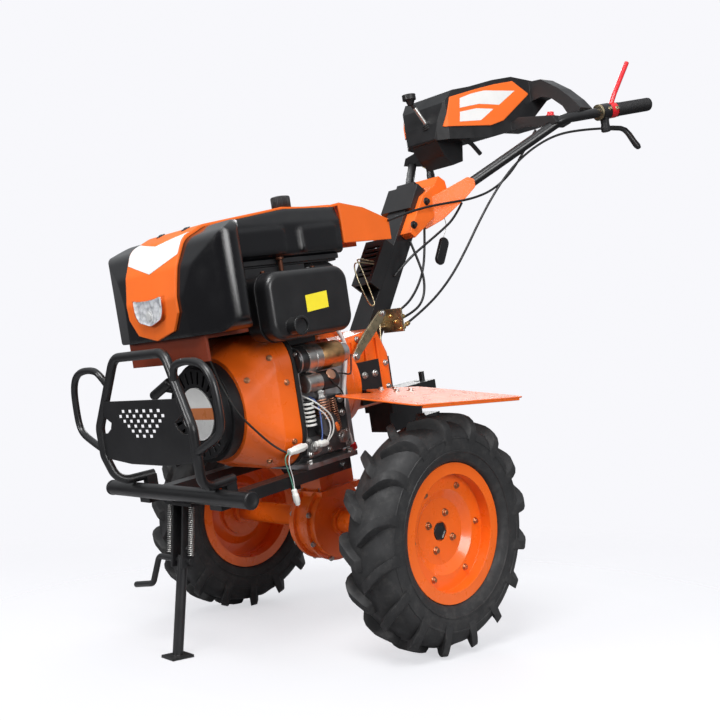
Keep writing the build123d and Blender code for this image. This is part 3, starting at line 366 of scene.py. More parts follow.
class Shape:
    """Collects the faces of one piece, in the parked frame."""

    def __init__(self):
        self.mesh = bmesh.new()

    def skin(self, rows, capped=True):
        """Quads between closed rows of points, with caps on the first and last row."""
        lines = [[self.mesh.verts.new(point) for point in row] for row in rows]
        count = len(rows[0])
        for line, other in zip(lines, lines[1:]):
            for step in range(count):
                after = (step + 1) % count
                self.mesh.faces.new((line[step], line[after], other[after], other[step]))
        if capped:
            self.mesh.faces.new(list(reversed(lines[0])))
            self.mesh.faces.new(lines[-1])

    def turned(self, foot, axis, profile, sides, ribs=0, rib_depth=0.0):
        """A profile of (distance along an axis, radius) pairs turned about it, with ribs along it."""
        turn = axis.to_track_quat("Z", "Y").to_matrix()
        widest = max(radius for along, radius in profile)
        rows = []
        for along, radius in profile:
            row = []
            for step in range(sides):
                angle = 2 * math.pi * step / sides
                dip = rib_depth * (0.5 - 0.5 * math.cos(ribs * angle)) if radius > 0.9 * widest else 0.0
                reach = (radius - dip) * MM
                spot = Vector((reach * math.cos(angle), reach * math.sin(angle), along * MM))
                row.append(foot + turn @ spot)
            rows.append(row)
        self.skin(rows)

    def bolt(self, foot, axis, across):
        """A hexagon head on a washer."""
        half = across / math.sqrt(3)
        washer = [(-1, across * 0.8), (0.9, across * 0.8), (1.4, across * 0.74)]
        head = [(1.2, half * 0.96), (1.8, half), (across * 0.56, half), (across * 0.64, half * 0.86)]
        self.turned(foot, axis, washer, 28)
        self.turned(foot, axis, head, 6)

    def coil(self, foot, axis, radius, thickness, length, turns, steps=14, sides=7):
        """A helical spring."""
        turn = axis.to_track_quat("Z", "Y").to_matrix()
        rows = []
        total = turns * steps
        for step in range(total + 1):
            angle = 2 * math.pi * step / steps
            out = Vector((math.cos(angle), math.sin(angle), 0))
            middle = out * radius + Vector((0, 0, length * step / total))
            row = []
            for corner in range(sides):
                around = 2 * math.pi * corner / sides
                away = out * math.cos(around) + Vector((0, 0, math.sin(around)))
                row.append(foot + turn @ ((middle + away * thickness / 2) * MM))
            rows.append(row)
        self.skin(rows)

    def slab(self, outline, across, thickness):
        """A flat plate with a chamfered rim, from placed points and the level direction of its thickness."""
        middle = sum(outline, Vector()) / len(outline)
        step = aim(*across) * thickness * MM
        rim = min(thickness * 0.35, 1.2) * MM
        smaller = [point + (middle - point).normalized() * rim for point in outline]
        walls = [[point + step * share for point in outline] for share in (0.25, 0.75)]
        self.skin([smaller, *walls, [point + step for point in smaller]])

    def piece(self, name, material, body="chassis", angle=38.0):
        """Finishes the mesh with smooth faces and sharp edges."""
        bmesh.ops.recalc_face_normals(self.mesh, faces=self.mesh.faces)
        mesh = bpy.data.meshes.new(name)
        self.mesh.to_mesh(mesh)
        self.mesh.free()
        mesh.shade_smooth()
        mesh.set_sharp_from_angle(angle=math.radians(angle))
        return place(name, mesh, material, body)


def lathe(name, material, mounts, profile, sides, ribs=0, rib_depth=0.0, body="chassis"):
    """One turned profile at each (foot, axis) mount, as one piece."""
    shape = Shape()
    for foot, axis in mounts:
        shape.turned(foot, axis, profile, sides, ribs, rib_depth)
    return shape.piece(name, material, body)


def bolts(name, material, heads, body="chassis"):
    """Hexagon heads as one piece, from a (foot, axis, width across the flats) for each."""
    shape = Shape()
    for foot, axis, across in heads:
        shape.bolt(foot, axis, across)
    return shape.piece(name, material, body)


def rounded_loop(low_a, high_a, low_b, high_b, radius, steps=8):
    """The outline of a rectangle with round corners, as pairs."""
    loop = []
    corners = ((high_a - radius, high_b - radius), (low_a + radius, high_b - radius),
               (low_a + radius, low_b + radius), (high_a - radius, low_b + radius))
    for quarter, (a, b) in enumerate(corners):
        for step in range(steps + 1):
            angle = math.pi / 2 * (quarter + step / steps)
            loop.append((a + radius * math.cos(angle), b + radius * math.sin(angle)))
    return loop


def stacked(name, material, span_x, span_y, corner, layers, shrink=0.0):
    """A low cover of rounded rectangles, one at each (height, inset); shrink tightens inset corners."""
    rows = []
    for height, inset in layers:
        loop = rounded_loop(span_x[0] + inset, span_x[1] - inset, span_y[0] + inset, span_y[1] - inset,
                            corner - shrink * inset, 6)
        rows.append([level(x, y, height) for x, y in loop])
    shape = Shape()
    shape.skin(rows)
    return shape.piece(name, material)


def band(name, material, loop, near, far, thickness, lay):
    """A flat strip standing out of a loop of pairs, between two depths; lay makes a level point."""
    centre_a = sum(a for a, b in loop) / len(loop)
    centre_b = sum(b for a, b in loop) / len(loop)
    rows = []
    for a, b in loop + loop[:1]:
        away = Vector((a - centre_a, b - centre_b)).normalized() * thickness
        rows.append([level(*lay(a, b, near)), level(*lay(a, b, far)),
                     level(*lay(a + away.x, b + away.y, far)), level(*lay(a + away.x, b + away.y, near))])
    shape = Shape()
    shape.skin(rows, capped=False)
    bmesh.ops.remove_doubles(shape.mesh, verts=shape.mesh.verts, dist=1e-6)
    return shape.piece(name, material)


def facing_left(along, up, depth):
    """Lays a pair on the machine's side, at a distance out from its middle."""
    return (along, depth, up)


def facing_ahead(across, up, depth):
    """Lays a pair on the machine's front, at a distance ahead of the axle."""
    return (depth, across, up)


def wire(name, points, diameter, material):
    """A round wire, pipe or bar along a smooth line between level points."""
    curve = bpy.data.curves.new(name, "CURVE")
    curve.dimensions = "3D"
    curve.bevel_depth = diameter / 2 * MM
    curve.bevel_resolution = 3
    curve.resolution_u = 8
    curve.use_fill_caps = True
    spline = curve.splines.new("NURBS")
    spline.points.add(len(points) - 1)
    for spot, point in zip(spline.points, points):
        spot.co = (*level(*point), 1.0)
    spline.order_u = 3
    spline.use_endpoint_u = True
    return place(name, curve, material)


surfaces = {}


def on_surface(node, point, direction):
    """Where a level line from a point along a direction meets a node, with the surface's normal."""
    if node not in surfaces:
        mesh = frame["nodes"][node].data
        surfaces[node] = BVHTree.FromPolygons([vertex.co for vertex in mesh.vertices],
                                              [tuple(face.vertices) for face in mesh.polygons])
    start = level(*point)
    along = aim(*direction)
    spot, normal, index, distance = surfaces[node].ray_cast(start, along)
    if spot is None:
        spot, normal, index, distance = surfaces[node].find_nearest(start)
    return spot, normal if normal.dot(along) < 0 else -normal


def patch(name, node, outline, lay, depth, direction, material, lift=0.5, cells=24):
    """A thin sheet on a node: an outline of pairs, cut into cells, laid at a depth and moved on."""
    sheet = bmesh.new()
    sheet.faces.new([sheet.verts.new((across, up, 0)) for across, up in outline])
    for axis, normal in enumerate((Vector((1, 0, 0)), Vector((0, 1, 0)))):
        low = min(pair[axis] for pair in outline)
        high = max(pair[axis] for pair in outline)
        for step in range(1, cells):
            cut = normal * (low + (high - low) * step / cells)
            everything = list(sheet.verts) + list(sheet.edges) + list(sheet.faces)
            bmesh.ops.bisect_plane(sheet, geom=everything, plane_co=cut, plane_no=normal)
    for vertex in sheet.verts:
        spot, normal = on_surface(node, lay(vertex.co.x, vertex.co.y, depth), direction)
        vertex.co = spot + normal * lift * MM
    sheet.normal_update()
    along = aim(*direction)
    bmesh.ops.reverse_faces(sheet, faces=[face for face in sheet.faces if face.normal.dot(along) > 0])
    mesh = bpy.data.meshes.new(name)
    sheet.to_mesh(mesh)
    sheet.free()
    mesh.shade_smooth()
    return place(name, mesh, material)


def softened(outline, reach, steps=4):
    """An outline of pairs with its corners rounded over a reach."""
    corners = []
    for step, corner in enumerate(outline):
        here = Vector(corner)
        before = (Vector(outline[step - 1]) - here).normalized()
        after = (Vector(outline[(step + 1) % len(outline)]) - here).normalized()
        for part in range(steps + 1):
            share = part / steps
            corners.append(here + before * reach * (1 - share) ** 2 + after * reach * share ** 2)
    return corners


# Cables and hose: the routes are those of the solids

CORDS = {
    "clutch_cable": (0.835, 6.0, "black_plastic", [
        (-871.3, 296.4, 808), (-813, 271, 810), (-745, 231, 804), (-684, 192, 774), (-625, 165, 730),
        (-575, 142, 674), (-529, 122, 613), (-482, 108, 551), (-428, 99, 494), (-364, 94, 448),
        (-294, 88, 412), (-238.5, 82, 389)]),
    "throttle_cable": (0.536, 6.0, "black_plastic", [
        (-716, 196, 824), (-675, 182, 775), (-637, 158, 722), (-583, 135, 685), (-518, 117, 669),
        (-451, 102, 665), (-383, 87, 660), (-315, 75, 649), (-262, 64.7, 636)]),
    "key_wire": (0.283, 6.0, "black_plastic", [
        (-512, 89, 664.5), (-480, 85, 628), (-427, 78, 599), (-373, 68, 571), (-322, 52, 541),
        (-292, 32.2, 508)]),
    "shift_cable": (0.283, 6.0, "black_plastic", [
        (-408, 46, 615), (-396, 49, 570), (-374, 53, 513), (-334, 57, 467), (-284, 58, 432),
        (-238, 56, 420)]),
    "brake_cable": (0.261, 6.0, "black_plastic", [
        (-348, 46, 586), (-354, 57, 542), (-356, 69, 487), (-333, 73, 437), (-281, 73, 414),
        (-237, 71, 406)]),
    "breather_hose": (0.343, 9.0, "white_hose", [
        (41.5, 86, 442), (-2, 101, 432), (-28, 112, 383), (-12, 112, 325), (6, 112, 267), (10, 112, 206),
        (-3, 112, 160)]),
}
for name, (length, diameter, finish, route) in CORDS.items():
    line = wire(f"{name}_line", route, diameter, finish)
    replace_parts(line, name)


# Wheels

TYRE_MIDDLE_Y = 0.320
TYRE_CROWN_R = 215.0
TYRE_STEPS = 144
TYRE_HALF = [  # radius and offset from the tyre's middle, from the crown to the bead
    (215.0, 0.0), (214.6, 12.0), (212.5, 25.0), (207.0, 38.0), (199.0, 46.5), (190.0, 51.0), (184.0, 52.4),
    (183.2, 53.8), (180.8, 53.8), (180.0, 52.8), (168.0, 53.4), (158.0, 52.4), (157.2, 53.6), (154.6, 53.2),
    (153.8, 51.6), (146.0, 48.8), (140.5, 46.0), (137.5, 43.0), (135.4, 38.0), (134.6, 35.0), (122.0, 34.5),
    (117.0, 33.0), (116.6, 0.0)]
LUGS_PER_SIDE = 16
LUG_LEAN = math.tan(math.radians(40.0))
LUG_STATIONS = [  # offset from the middle, radius of the foot and of the top
    (0.0, 211.0, 213.0), (1.5, 212.0, 222.0), (4.0, 212.5, 228.0), (9.0, 212.5, 229.8), (22.0, 211.0, 229.8),
    (34.0, 207.0, 229.4), (42.0, 201.0, 226.4), (49.0, 193.0, 219.0), (54.0, 186.0, 208.0),
    (55.8, 180.0, 197.0), (55.6, 175.0, 186.0), (54.4, 170.0, 176.0)]
LUG_SECTION = [(-13.0, 0.0), (-10.6, 0.55), (-9.4, 0.94), (-8.6, 1.0), (0.0, 1.0), (8.6, 1.0), (9.4, 0.94),
               (10.6, 0.55), (13.0, 0.0)]  # across the lug, and share of its height


def tyre(name, side):
    """A smooth carcass with ribbed sidewalls and two staggered rows of rounded, leaning lugs."""
    middle = Vector((AXLE.x, side * TYRE_MIDDLE_Y, AXLE.z))

    def spot(radius, across, angle):
        return middle + Vector((radius * math.sin(angle), side * across, radius * math.cos(angle))) * MM

    shape = Shape()
    loop = TYRE_HALF + [(radius, -across) for radius, across in reversed(TYRE_HALF[1:-1])]
    rows = []
    for step in range(TYRE_STEPS + 1):
        angle = 2 * math.pi * step / TYRE_STEPS
        rows.append([spot(radius, across, angle) for radius, across in loop])
    shape.skin(rows, capped=False)
    bmesh.ops.remove_doubles(shape.mesh, verts=shape.mesh.verts, dist=1e-6)
    pitch = 2 * math.pi / LUGS_PER_SIDE
    for half in (1, -1):
        for count in range(LUGS_PER_SIDE):
            turn = (count + (0.0 if half > 0 else 0.5)) * pitch
            rows = []
            for across, foot, top in LUG_STATIONS:
                row = []
                for offset, rise in LUG_SECTION:
                    radius = foot + (top - foot) * rise
                    along = offset - (across - 3.0) * LUG_LEAN
                    angle = math.atan2(along, TYRE_CROWN_R) + turn
                    row.append(spot(radius, half * (across - 1.5 * (1 - rise)), angle))
                rows.append(row)
            shape.skin(rows)
    piece = shape.piece(f"{name}_tread", "rubber_tyre", f"wheel_{name}", 34.0)
    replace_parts(piece, f"tyre_{name}")


WHEEL_BOLTS = (  # how many, circle radius, distance from the machine's middle, size, first angle
    (6, 94.0, 335.0, 8.5, -9.0),
    (4, 38.0, 323.0, 10.0, 20.0),
)
HUB_SOCKET = [(0, 18.4), (3.2, 18.4), (3.2, 16.0), (1.2, 14.5), (0.6, 6.0)]
HUB_SOCKET_Y = 319.5


def wheel_fittings(name, side):
    """Bolts on the disc and hub, and the dark socket in the hub's middle."""
    body = f"wheel_{name}"
    out = Vector((0, side, 0))
    heads = []
    for count, radius, face, size, first in WHEEL_BOLTS:
        for step in range(count):
            angle = math.radians(first + 360 * step / count)
            spot = Vector((radius * math.cos(angle), side * face, radius * math.sin(angle)))
            heads.append((AXLE + spot * MM, out, size))
    bolts(f"wheel_bolts_{name}", "painted_bolt", heads, body)
    mounts = [(AXLE + out * HUB_SOCKET_Y * MM, out)]
    lathe(f"hub_socket_{name}", "black_paint", mounts, HUB_SOCKET, 6, body=body)


for name, side in SIDES:
    tyre(name, side)
    wheel_fittings(name, side)


# Tank, its cover and lamp

CHEVRON = [(-87, 637), (-44, 630), (0, 623), (44, 630), (87, 637), (90, 616), (88, 598), (44, 585), (0, 572),
           (-44, 585), (-88, 598), (-90, 616)]
AHEAD = 460.0
patch("shield_patch", "tank_cover", CHEVRON, facing_ahead, AHEAD, (-1, 0, 0), "bare_white")

LAMP_HALF = [(30, 525), (52, 529), (50, 500), (39, 484)]
LAMP = [(0, 524)] + LAMP_HALF + [(0, 474)] + [(-across, up) for across, up in reversed(LAMP_HALF)]
LAMP_RIM = softened(LAMP, 7.0)
LAMP_BACK, LAMP_FRONT, LAMP_MIDDLE = 348.0, 362.0, 502.0
BULB = [(0, 11), (1.2, 11), (1.6, 8), (2.8, 7), (3.4, 4), (3.6, 2)]


def lamp_rings(rings):
    """The lamp's outline at each share of its size and distance behind its front."""
    return [[level(LAMP_FRONT - depth, across * size, LAMP_MIDDLE + (up - LAMP_MIDDLE) * size)
             for across, up in LAMP_RIM] for size, depth in rings]


lens = Shape()
lens.skin(lamp_rings(((1.0, LAMP_FRONT - LAMP_BACK), (1.0, 2.5), (0.98, 0.8), (0.94, 0.0))))
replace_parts(lens.piece("lamp_lens", "lens"), "headlamp")
mirror = Shape()
mirror.skin(lamp_rings(((0.04, 4.2), (0.5, 4.0), (0.8, 3.4), (0.95, 1.6))), capped=False)
mirror.piece("lamp_mirror", "reflector", angle=60.0)
lathe("lamp_bulb", "bare_white", [(level(LAMP_FRONT - 4.4, 0, 494), ALONG)], BULB, 30)

SCREW = [(-1, 9.5), (0.8, 9.5), (1.1, 8.6), (0.5, 6.4), (0.5, 4.2), (2.2, 4.0), (2.8, 2.4)]
screw_mounts = [on_surface("tank_cover", (278, side * 44, 800), (0, 0, -1)) for side in (-1, 1)]
lathe("cover_screws", "black_paint", screw_mounts, SCREW, 24)

CAP = [(0, 18.5), (3, 18.5), (3.5, 15), (13.5, 15), (14, 20), (15, 21), (36, 21), (38.5, 19.5), (39.5, 15),
       (38.8, 9), (39.2, 3)]
CAP_RIBS, CAP_RIB_DEPTH = 36, 1.4
cap = lathe("filler_cap", "black_plastic", [(level(-4, 0, 670.4), UP)], CAP, 144, CAP_RIBS, CAP_RIB_DEPTH)
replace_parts(cap, "fuel_cap")


# Silencer, starter and the engine's left side

LABEL = [(84, 462), (140, 458), (140, 490), (84, 494)]
BESIDE = 400.0
patch("silencer_label", "muffler", LABEL, facing_left, BESIDE, (0, -1, 0), "bare_yellow", 0.2, 4)
band("silencer_seam", "black_paint", rounded_loop(20, 228, 412, 541, 32), 157.0, 160.5, 3.0, facing_left)
bolts("silencer_bolts", "heat_tint", [(level(x, 140, 541), UP, 9.0) for x in (60, 188)])
band("fan_gasket", "seal", rounded_loop(-141, 141, 158, 436, 78), 143.5, 152.5, 3.2, facing_ahead)
band("fan_backing", "engine_alloy", rounded_loop(-139, 139, 160, 434, 78), 139.0, 143.0, 2.6, facing_ahead)

STARTER = level(0, 132, 366)
SOLENOID = level(0, 140, 318)
FILTER_X, FILTER_Y = 131, 145
TURNED = (  # name, finish, foot, axis, sides and profile
    ("silencer_tip", "black_paint", level(181, 219, 436), OUTWARD, 36,
     [(0, 17.2), (0.4, 18.4), (3.4, 18.4), (3.8, 17.0), (3.8, 14.0), (-14, 13.6)]),
    ("starter_cap", "black_paint", STARTER, ALONG, 40,
     [(121, 27.2), (137, 27.2), (143, 24), (146, 16), (146, 9), (150, 8), (151, 5)]),
    ("starter_band", "bright_zinc", STARTER, ALONG, 48,
     [(82, 27.3), (82.6, 28.6), (99, 28.6), (99.6, 28.0), (101, 28.0), (101.6, 28.6), (120.4, 28.6),
      (121, 27.3)]),
    ("starter_body", "bronze", STARTER, ALONG, 48, [(25, 26.6), (26, 27.7), (81, 27.7), (82, 27.2)]),
    ("solenoid_can", "bright_zinc", SOLENOID, ALONG, 40,
     [(92, 18.2), (92.5, 18.8), (127, 18.8), (128.6, 17.5), (129, 12)]),
    ("solenoid_end", "black_plastic", SOLENOID, ALONG, 40,
     [(47, 12), (47.5, 17), (50, 19.2), (91, 19.2), (92, 18.2)]),
    ("terminals", "copper", level(70, 155, 328), aim(0, 1, 0.5), 28, [(0, 11), (3.4, 11), (4.2, 9)]),
    ("filter_core", "seal", level(FILTER_X, FILTER_Y, 234), UP, 28, [(0, 8), (0.6, 9), (52, 9), (53, 7)]),
    ("hose_cap", "red_plastic", level(-3.2, 112, 166), aim(-0.25, 0, -1), 24,
     [(-6, 5.4), (-5, 7.6), (6, 7.6), (8, 6.4), (10, 3)]),
    ("hose_clip", "bright_zinc", level(30, 90, 439), aim(-1, 0.35, -0.2), 24,
     [(0, 5.0), (0.4, 6.2), (5.6, 6.2), (6, 5.0)]),
    ("bell_cover", "orange_paint", level(-55.6, 0, 293), ALONG, 72,
     [(0, 96.2), (0.6, 98.4), (8, 98.4), (9, 97.2), (30, 97.2), (31, 98.4), (39, 98.4), (39.6, 96.2)]),
)
for name, finish, foot, axis, sides, profile in TURNED:
    lathe(name, finish, [(foot, axis)], profile, sides)
starter_heads = [(level(143, 132 + side * 12, 366 + side * 14), ALONG, 6.5) for side in (-1, 1)]
bolts("starter_bolts", "bright_zinc", starter_heads + [(level(4, 132, 376), -ALONG, 9.0)])

shade_plate = Shape()
shade_plate.slab(levels((x, 131.5, z) for x, z in rounded_loop(24, 134, 212, 284, 8, 4)), (0, 1, 0), 1.4)
shade_plate.piece("pump_shade", "black_paint")
unions = Shape()
unions.turned(level(92, 141, 286), UP, [(-2, 13.4), (3, 13.4), (3.4, 10), (9, 10), (9.4, 12), (13, 12),
                                        (13.4, 8), (22, 8), (22.4, 6), (28, 6)], 6)
unions.turned(level(40, 131, 196), OUTWARD, [(0, 15), (4, 15), (5, 12), (10, 12), (11, 10)], 6)
unions.turned(level(121, 131, 190), OUTWARD, [(0, 13), (6, 13), (7, 9), (15, 9), (16, 7)], 28)
unions.piece("pump_unions", "bright_zinc")
FILTER_RING = [(0, 8.8), (0.5, 11.6), (4.0, 11.6), (4.5, 8.8)]
ring_mounts = [(level(FILTER_X, FILTER_Y, 236 + rise * 8.4), UP) for rise in range(6)]
lathe("filter_rings", "connector", ring_mounts, FILTER_RING, 28)
pump_springs = Shape()
pump_springs.coil(level(92, 141, 240), UP, 15.2, 3.6, 42, 8, 24, 8)
pump_springs.coil(level(58, 141, 216), aim(0.1, 0, 1), 7.5, 2.4, 64, 14)
pump_springs.piece("pump_springs", "copper")
PUMP_COVER_BOLTS = ((28, 178), (28, 204), (132, 206), (132, 178), (80, 178))
pump_heads = [(level(x, 131.4, z), OUTWARD, 8.0) for x, z in PUMP_COVER_BOLTS]
bolts("pump_bolts", "bright_zinc", pump_heads + [(level(34, 132.8, z), OUTWARD, 9.0) for z in (244, 272)])

WIRES = (  # name, diameter, finish and level points
    ("injection_pipe", 6.0, "bright_zinc",
     ((92, 141, 312), (92, 142, 334), (112, 146, 342), (142, 142, 350), (150, 132, 384), (140, 112, 410),
      (120, 100, 424))),
    ("loom_white", 3.4, "connector",
     ((131, 130, 296), (131, 150, 290), (120, 156, 281), (108, 159, 269), (89, 160, 251), (84, 160, 228),
      (92, 158, 208), (104, 153, 198))),
    ("loom_pale", 2.8, "white_hose",
     ((138, 130, 290), (137, 148, 284), (124, 158, 272), (108, 162, 258), (97, 163, 238), (97, 162, 216),
      (106, 154, 199))),
    ("loom_blue", 2.6, "wire_blue",
     ((117, 134, 292), (114, 150, 286), (114, 158, 264), (116, 159, 240), (116, 158, 216), (118, 154, 204))),
    ("loom_green", 2.4, "wire_green",
     ((198, 150, 200), (211, 151, 196), (213, 150, 182), (208, 149, 163), (204, 149, 144), (202, 149, 124))),
    ("loom_thin", 2.0, "white_hose",
     ((196, 151, 198), (206, 153, 190), (206, 152, 174), (201, 150, 156), (199, 149, 138), (201, 149, 122))),
    ("loom_dark", 3.0, "seal",
     ((78, 160, 322), (66, 162, 306), (46, 156, 292), (34, 146, 276), (28, 136, 262), (24, 131, 250))),
    ("stop_wire", 4.0, "seal",
     ((331, 106, 440), (328, 108, 424), (314, 108, 394), (300, 104, 353), (284, 121, 293), (250, 126, 250),
      (216, 130, 212), (204, 146, 200))),
    ("charge_wire", 3.4, "seal",
     ((66, 152, 330), (40, 158, 326), (12, 150, 318), (-14, 128, 322), (-40, 104, 336), (-62, 84, 352))),
    ("linkage_hook", 3.2, "zinc_steel",
     ((-231, 30, 548), (-190, 40, 554), (-154, 52, 557), (-153, 60, 545), (-165, 64, 500), (-172, 68, 463),
      (-173, 70, 449), (-160, 70, 447), (-149, 68, 470), (-138, 64, 507), (-137, 58, 536), (-152, 48, 550),
      (-190, 36, 548), (-230, 30, 542))),
    ("selector_rod", 5.0, "zinc_steel",
     ((-214, 36, 410), (-206, 46, 412), (-199, 50, 404), (-194, 50, 360), (-189, 50, 326))),
    ("key_ring", 1.8, "bright_zinc", ((-468, 60, 640), (-470, 66, 624), (-464, 66, 602), (-456, 62, 588))),
)
for name, diameter, finish, route in WIRES:
    wire(name, route, diameter, finish)


PLUG = ((0.3, 0.42), (0.32, 0.5), (0.8, 0.5), (0.86, 0.4), (1.0, 0.34))  # shares of the length and width


def plugs(name, material, shells):
    """Moulded connector shells with collars, from a (start, end, width) for each."""
    shape = Shape()
    for start, end, width in shells:
        way = level(*end) - level(*start)
        length = way.length / MM
        profile = [(0, width * 0.32), (1.5, width * 0.42)]
        profile += [(length * along, width * half) for along, half in PLUG]
        shape.turned(level(*start), way.normalized(), profile, 8)
    return shape.piece(name, material)


plugs("loom_plugs", "connector", (((201, 150, 199), (156, 150, 202), 17),
                                  ((134, 152, 200), (102, 152, 197), 15),
                                  ((202, 149, 128), (198, 149, 96), 13)))
plugs("loom_tag", "orange_plastic", [((74, 152, 232), (69, 152, 214), 12)])

stacked("tank_tray", "black_paint", (-68, 258), (-98, 98), 22,
        ((556.6, 9.0), (557.4, 6.0), (560.5, 6.0), (561.5, 0.0), (570.6, 0.0), (571.4, 1.5)), shrink=1.0)
stacked("rocker_cover", "black_paint", (-52, 42), (-88, 96), 18,
        ((430, 0.0), (500, 0.0), (503, -5.0), (509, -5.0), (512, 0.0), (548, 2.0), (556, 9.0)))
stacked("rear_cover", "orange_paint", (-50, 40), (-86, 94), 18,
        ((397, 0.0), (404, 0.0), (405, 3.0), (424, 3.0), (425, 0.0), (430, 0.0)))
POST = [(0, 7), (2, 7), (2.5, 5), (28, 5), (28.5, 8), (33, 8)]
lathe("tray_posts", "heat_tint", [(level(x, 106, 540), UP) for x in (112, 214)], POST, 20)

FAN_BOLTS = ((194, 382), (238, 347), (204, 182), (170, 214), (170, 330))
bolts("fan_bolts", "painted_bolt", [(*on_surface("blower_housing", (x, side * 300, z), (0, -side, 0)), 7.5)
                                    for side in (-1, 1) for x, z in FAN_BOLTS])


# Gearbox and hand-control linkage

DRUM_BOLTS, DRUM_BOLT_R, DRUM_Y = 8, 82, 26.5
CASE_BOLTS = ((-186, 262), (-146, 240), (-108, 240), (-186, 316), (-150, 386), (-108, 380))
gear_heads = []
for side in (-1, 1):
    out = aim(0, side, 0)
    for step in range(DRUM_BOLTS):
        angle = 2 * math.pi * (step + 0.5) / DRUM_BOLTS
        spot = level(DRUM_BOLT_R * math.cos(angle), side * DRUM_Y, DRUM_BOLT_R * math.sin(angle))
        gear_heads.append((spot, out, 8.0))
    gear_heads += [(level(x, side * 62.2, z), out, 9.0) for x, z in CASE_BOLTS]
    gear_heads += [(level(x, side * 131, 161.2), UP, 12.0) for x in (28, 136)]
    gear_heads += [(level(x, side * 76.5, 300), out, 10.0) for x in (-134, -102)]
bolts("gear_bolts", "bright_zinc", gear_heads)

ADJUSTER = [(0, 4.4), (2, 5.6), (10, 5.6), (10.4, 4.2), (20, 4.2), (20.4, 7), (24.6, 7), (25, 4), (36, 4),
            (37, 2.6)]
adjuster_mounts = []
for cable in ("shift_cable", "brake_cable", "clutch_cable"):
    x, y, z = CORDS[cable][3][-1]
    adjuster_mounts.append((level(x - 24, y + 0.6, z + 8), aim(1, 0, -0.34)))
lathe("cable_adjusters", "brass", adjuster_mounts, ADJUSTER, 12)
BALL = [(-7, 2), (-5.6, 4.6), (-3, 6.6), (0, 7.2), (3, 6.6), (5.6, 4.6), (7, 2.4)]
lathe("selector_ball", "zinc_steel", [(level(-188, 50, 320), UP)], BALL, 28)
bolts("linkage_bolts", "bright_zinc", [(level(-80, 80.6, 345), OUTWARD, 12.0),
                                       (level(-182, 80.6, 428), OUTWARD, 9.0)])


# Fenders

FENDER_OUTLINE = [(-246, 102), (-70, 102), (-30, 172), (92, 172), (92, 392), (-246, 392)]
FENDER_T, FENDER_EDGE = 3.0, 5.0
FENDER_LAYERS = ((0.0, 1.0), (0.8, 0.0), (2.2, 0.0), (FENDER_T, 1.0))  # height and inset
FENDER_Y, FENDER_Z = 320, 258
FENDER_TURN = Matrix.Rotation(math.radians(-6), 3, "X") @ Matrix.Rotation(math.radians(-8), 3, "Y")
ROLLED_EDGE = ((388.6, 1.0), (391.4, 1.0), (391.6, 1 - FENDER_EDGE), (390.8, -FENDER_EDGE),
               (389.4, -FENDER_EDGE), (388.8, 1 - FENDER_EDGE))


def fender(name, side):
    """A thin sheet with a small rolled edge along its outside, and bolts over its bracket."""

    def spot(x, y, z):
        turned = FENDER_TURN @ Vector((x, y - FENDER_Y, z)) + Vector((0, FENDER_Y, FENDER_Z))
        return level(turned.x, side * turned.y, turned.z)

    corners = softened(FENDER_OUTLINE, 16.0)
    middle = sum(corners, Vector((0, 0))) / len(corners)
    rows = []
    for height, inset in FENDER_LAYERS:
        rows.append([spot(*(corner + (middle - corner).normalized() * inset), height) for corner in corners])
    sheet = Shape()
    sheet.skin(rows)
    sheet.skin([[spot(x, y, z) for y, z in ROLLED_EDGE] for x in (-228, 74)])
    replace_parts(sheet.piece(f"fender_sheet_{name}", "orange_paint"), f"fender_{name}")
    up = (spot(0, 0, 10) - spot(0, 0, 0)).normalized()
    heads = [(spot(x, y, FENDER_T), up, 9.0) for x in (-140, -96) for y in (126, 172)]
    bolts(f"fender_bolts_{name}", "bright_zinc", heads)


for name, side in SIDES:
    fender(name, side)


# Handlebars, dash and controls

GRIP_END, GRIP_AXIS = (-1023.0, 350.0, 863.0), (0.9411, -0.3276, -0.0837)
GRIP_RIBS, GRIP_RIB_PITCH = 17, 5.6
GRIP = [(-4.0, 9.0), (-3.4, 14.0), (-1.5, 16.8), (3.0, 17.4), (7.0, 17.4)]
for rib in range(GRIP_RIBS):
    start = 8.0 + rib * GRIP_RIB_PITCH
    GRIP += [(start, 15.9), (start + 1.6, 15.9), (start + 2.2, 17.3), (start + 4.9, 17.3)]
GRIP += [(104.0, 16.0), (105.0, 18.2), (110.0, 18.2), (112.0, 16.4)]
CLAMP = [(0, 14), (0.6, 20.6), (6.4, 20.6), (7, 14)]
LEVER = [  # distance from the bar's end, out, down, half thickness and half width
    (152, 0, -42, 6.0, 8.0), (136, 2, -44, 6.5, 9.0), (112, 5, -48, 5.5, 8.5), (98, 7, -55, 5.2, 8.2),
    (88, 9, -68, 5.2, 8.2), (79, 12, -88, 5.4, 8.6), (71, 14, -102, 6.4, 9.4), (68, 15, -108, 5.0, 7.0)]
LEVER_PIVOT = [(0, 13), (4, 12), (22, 11), (30, 12.5), (40, 12.5), (42, 9)]
LEVER_SIDES = 16


def on_grip(distance, side):
    """A point on a grip's axis, forward from the handlebar's end."""
    x, y, z = (end + way * distance for end, way in zip(GRIP_END, GRIP_AXIS))
    return level(x, side * y, z)


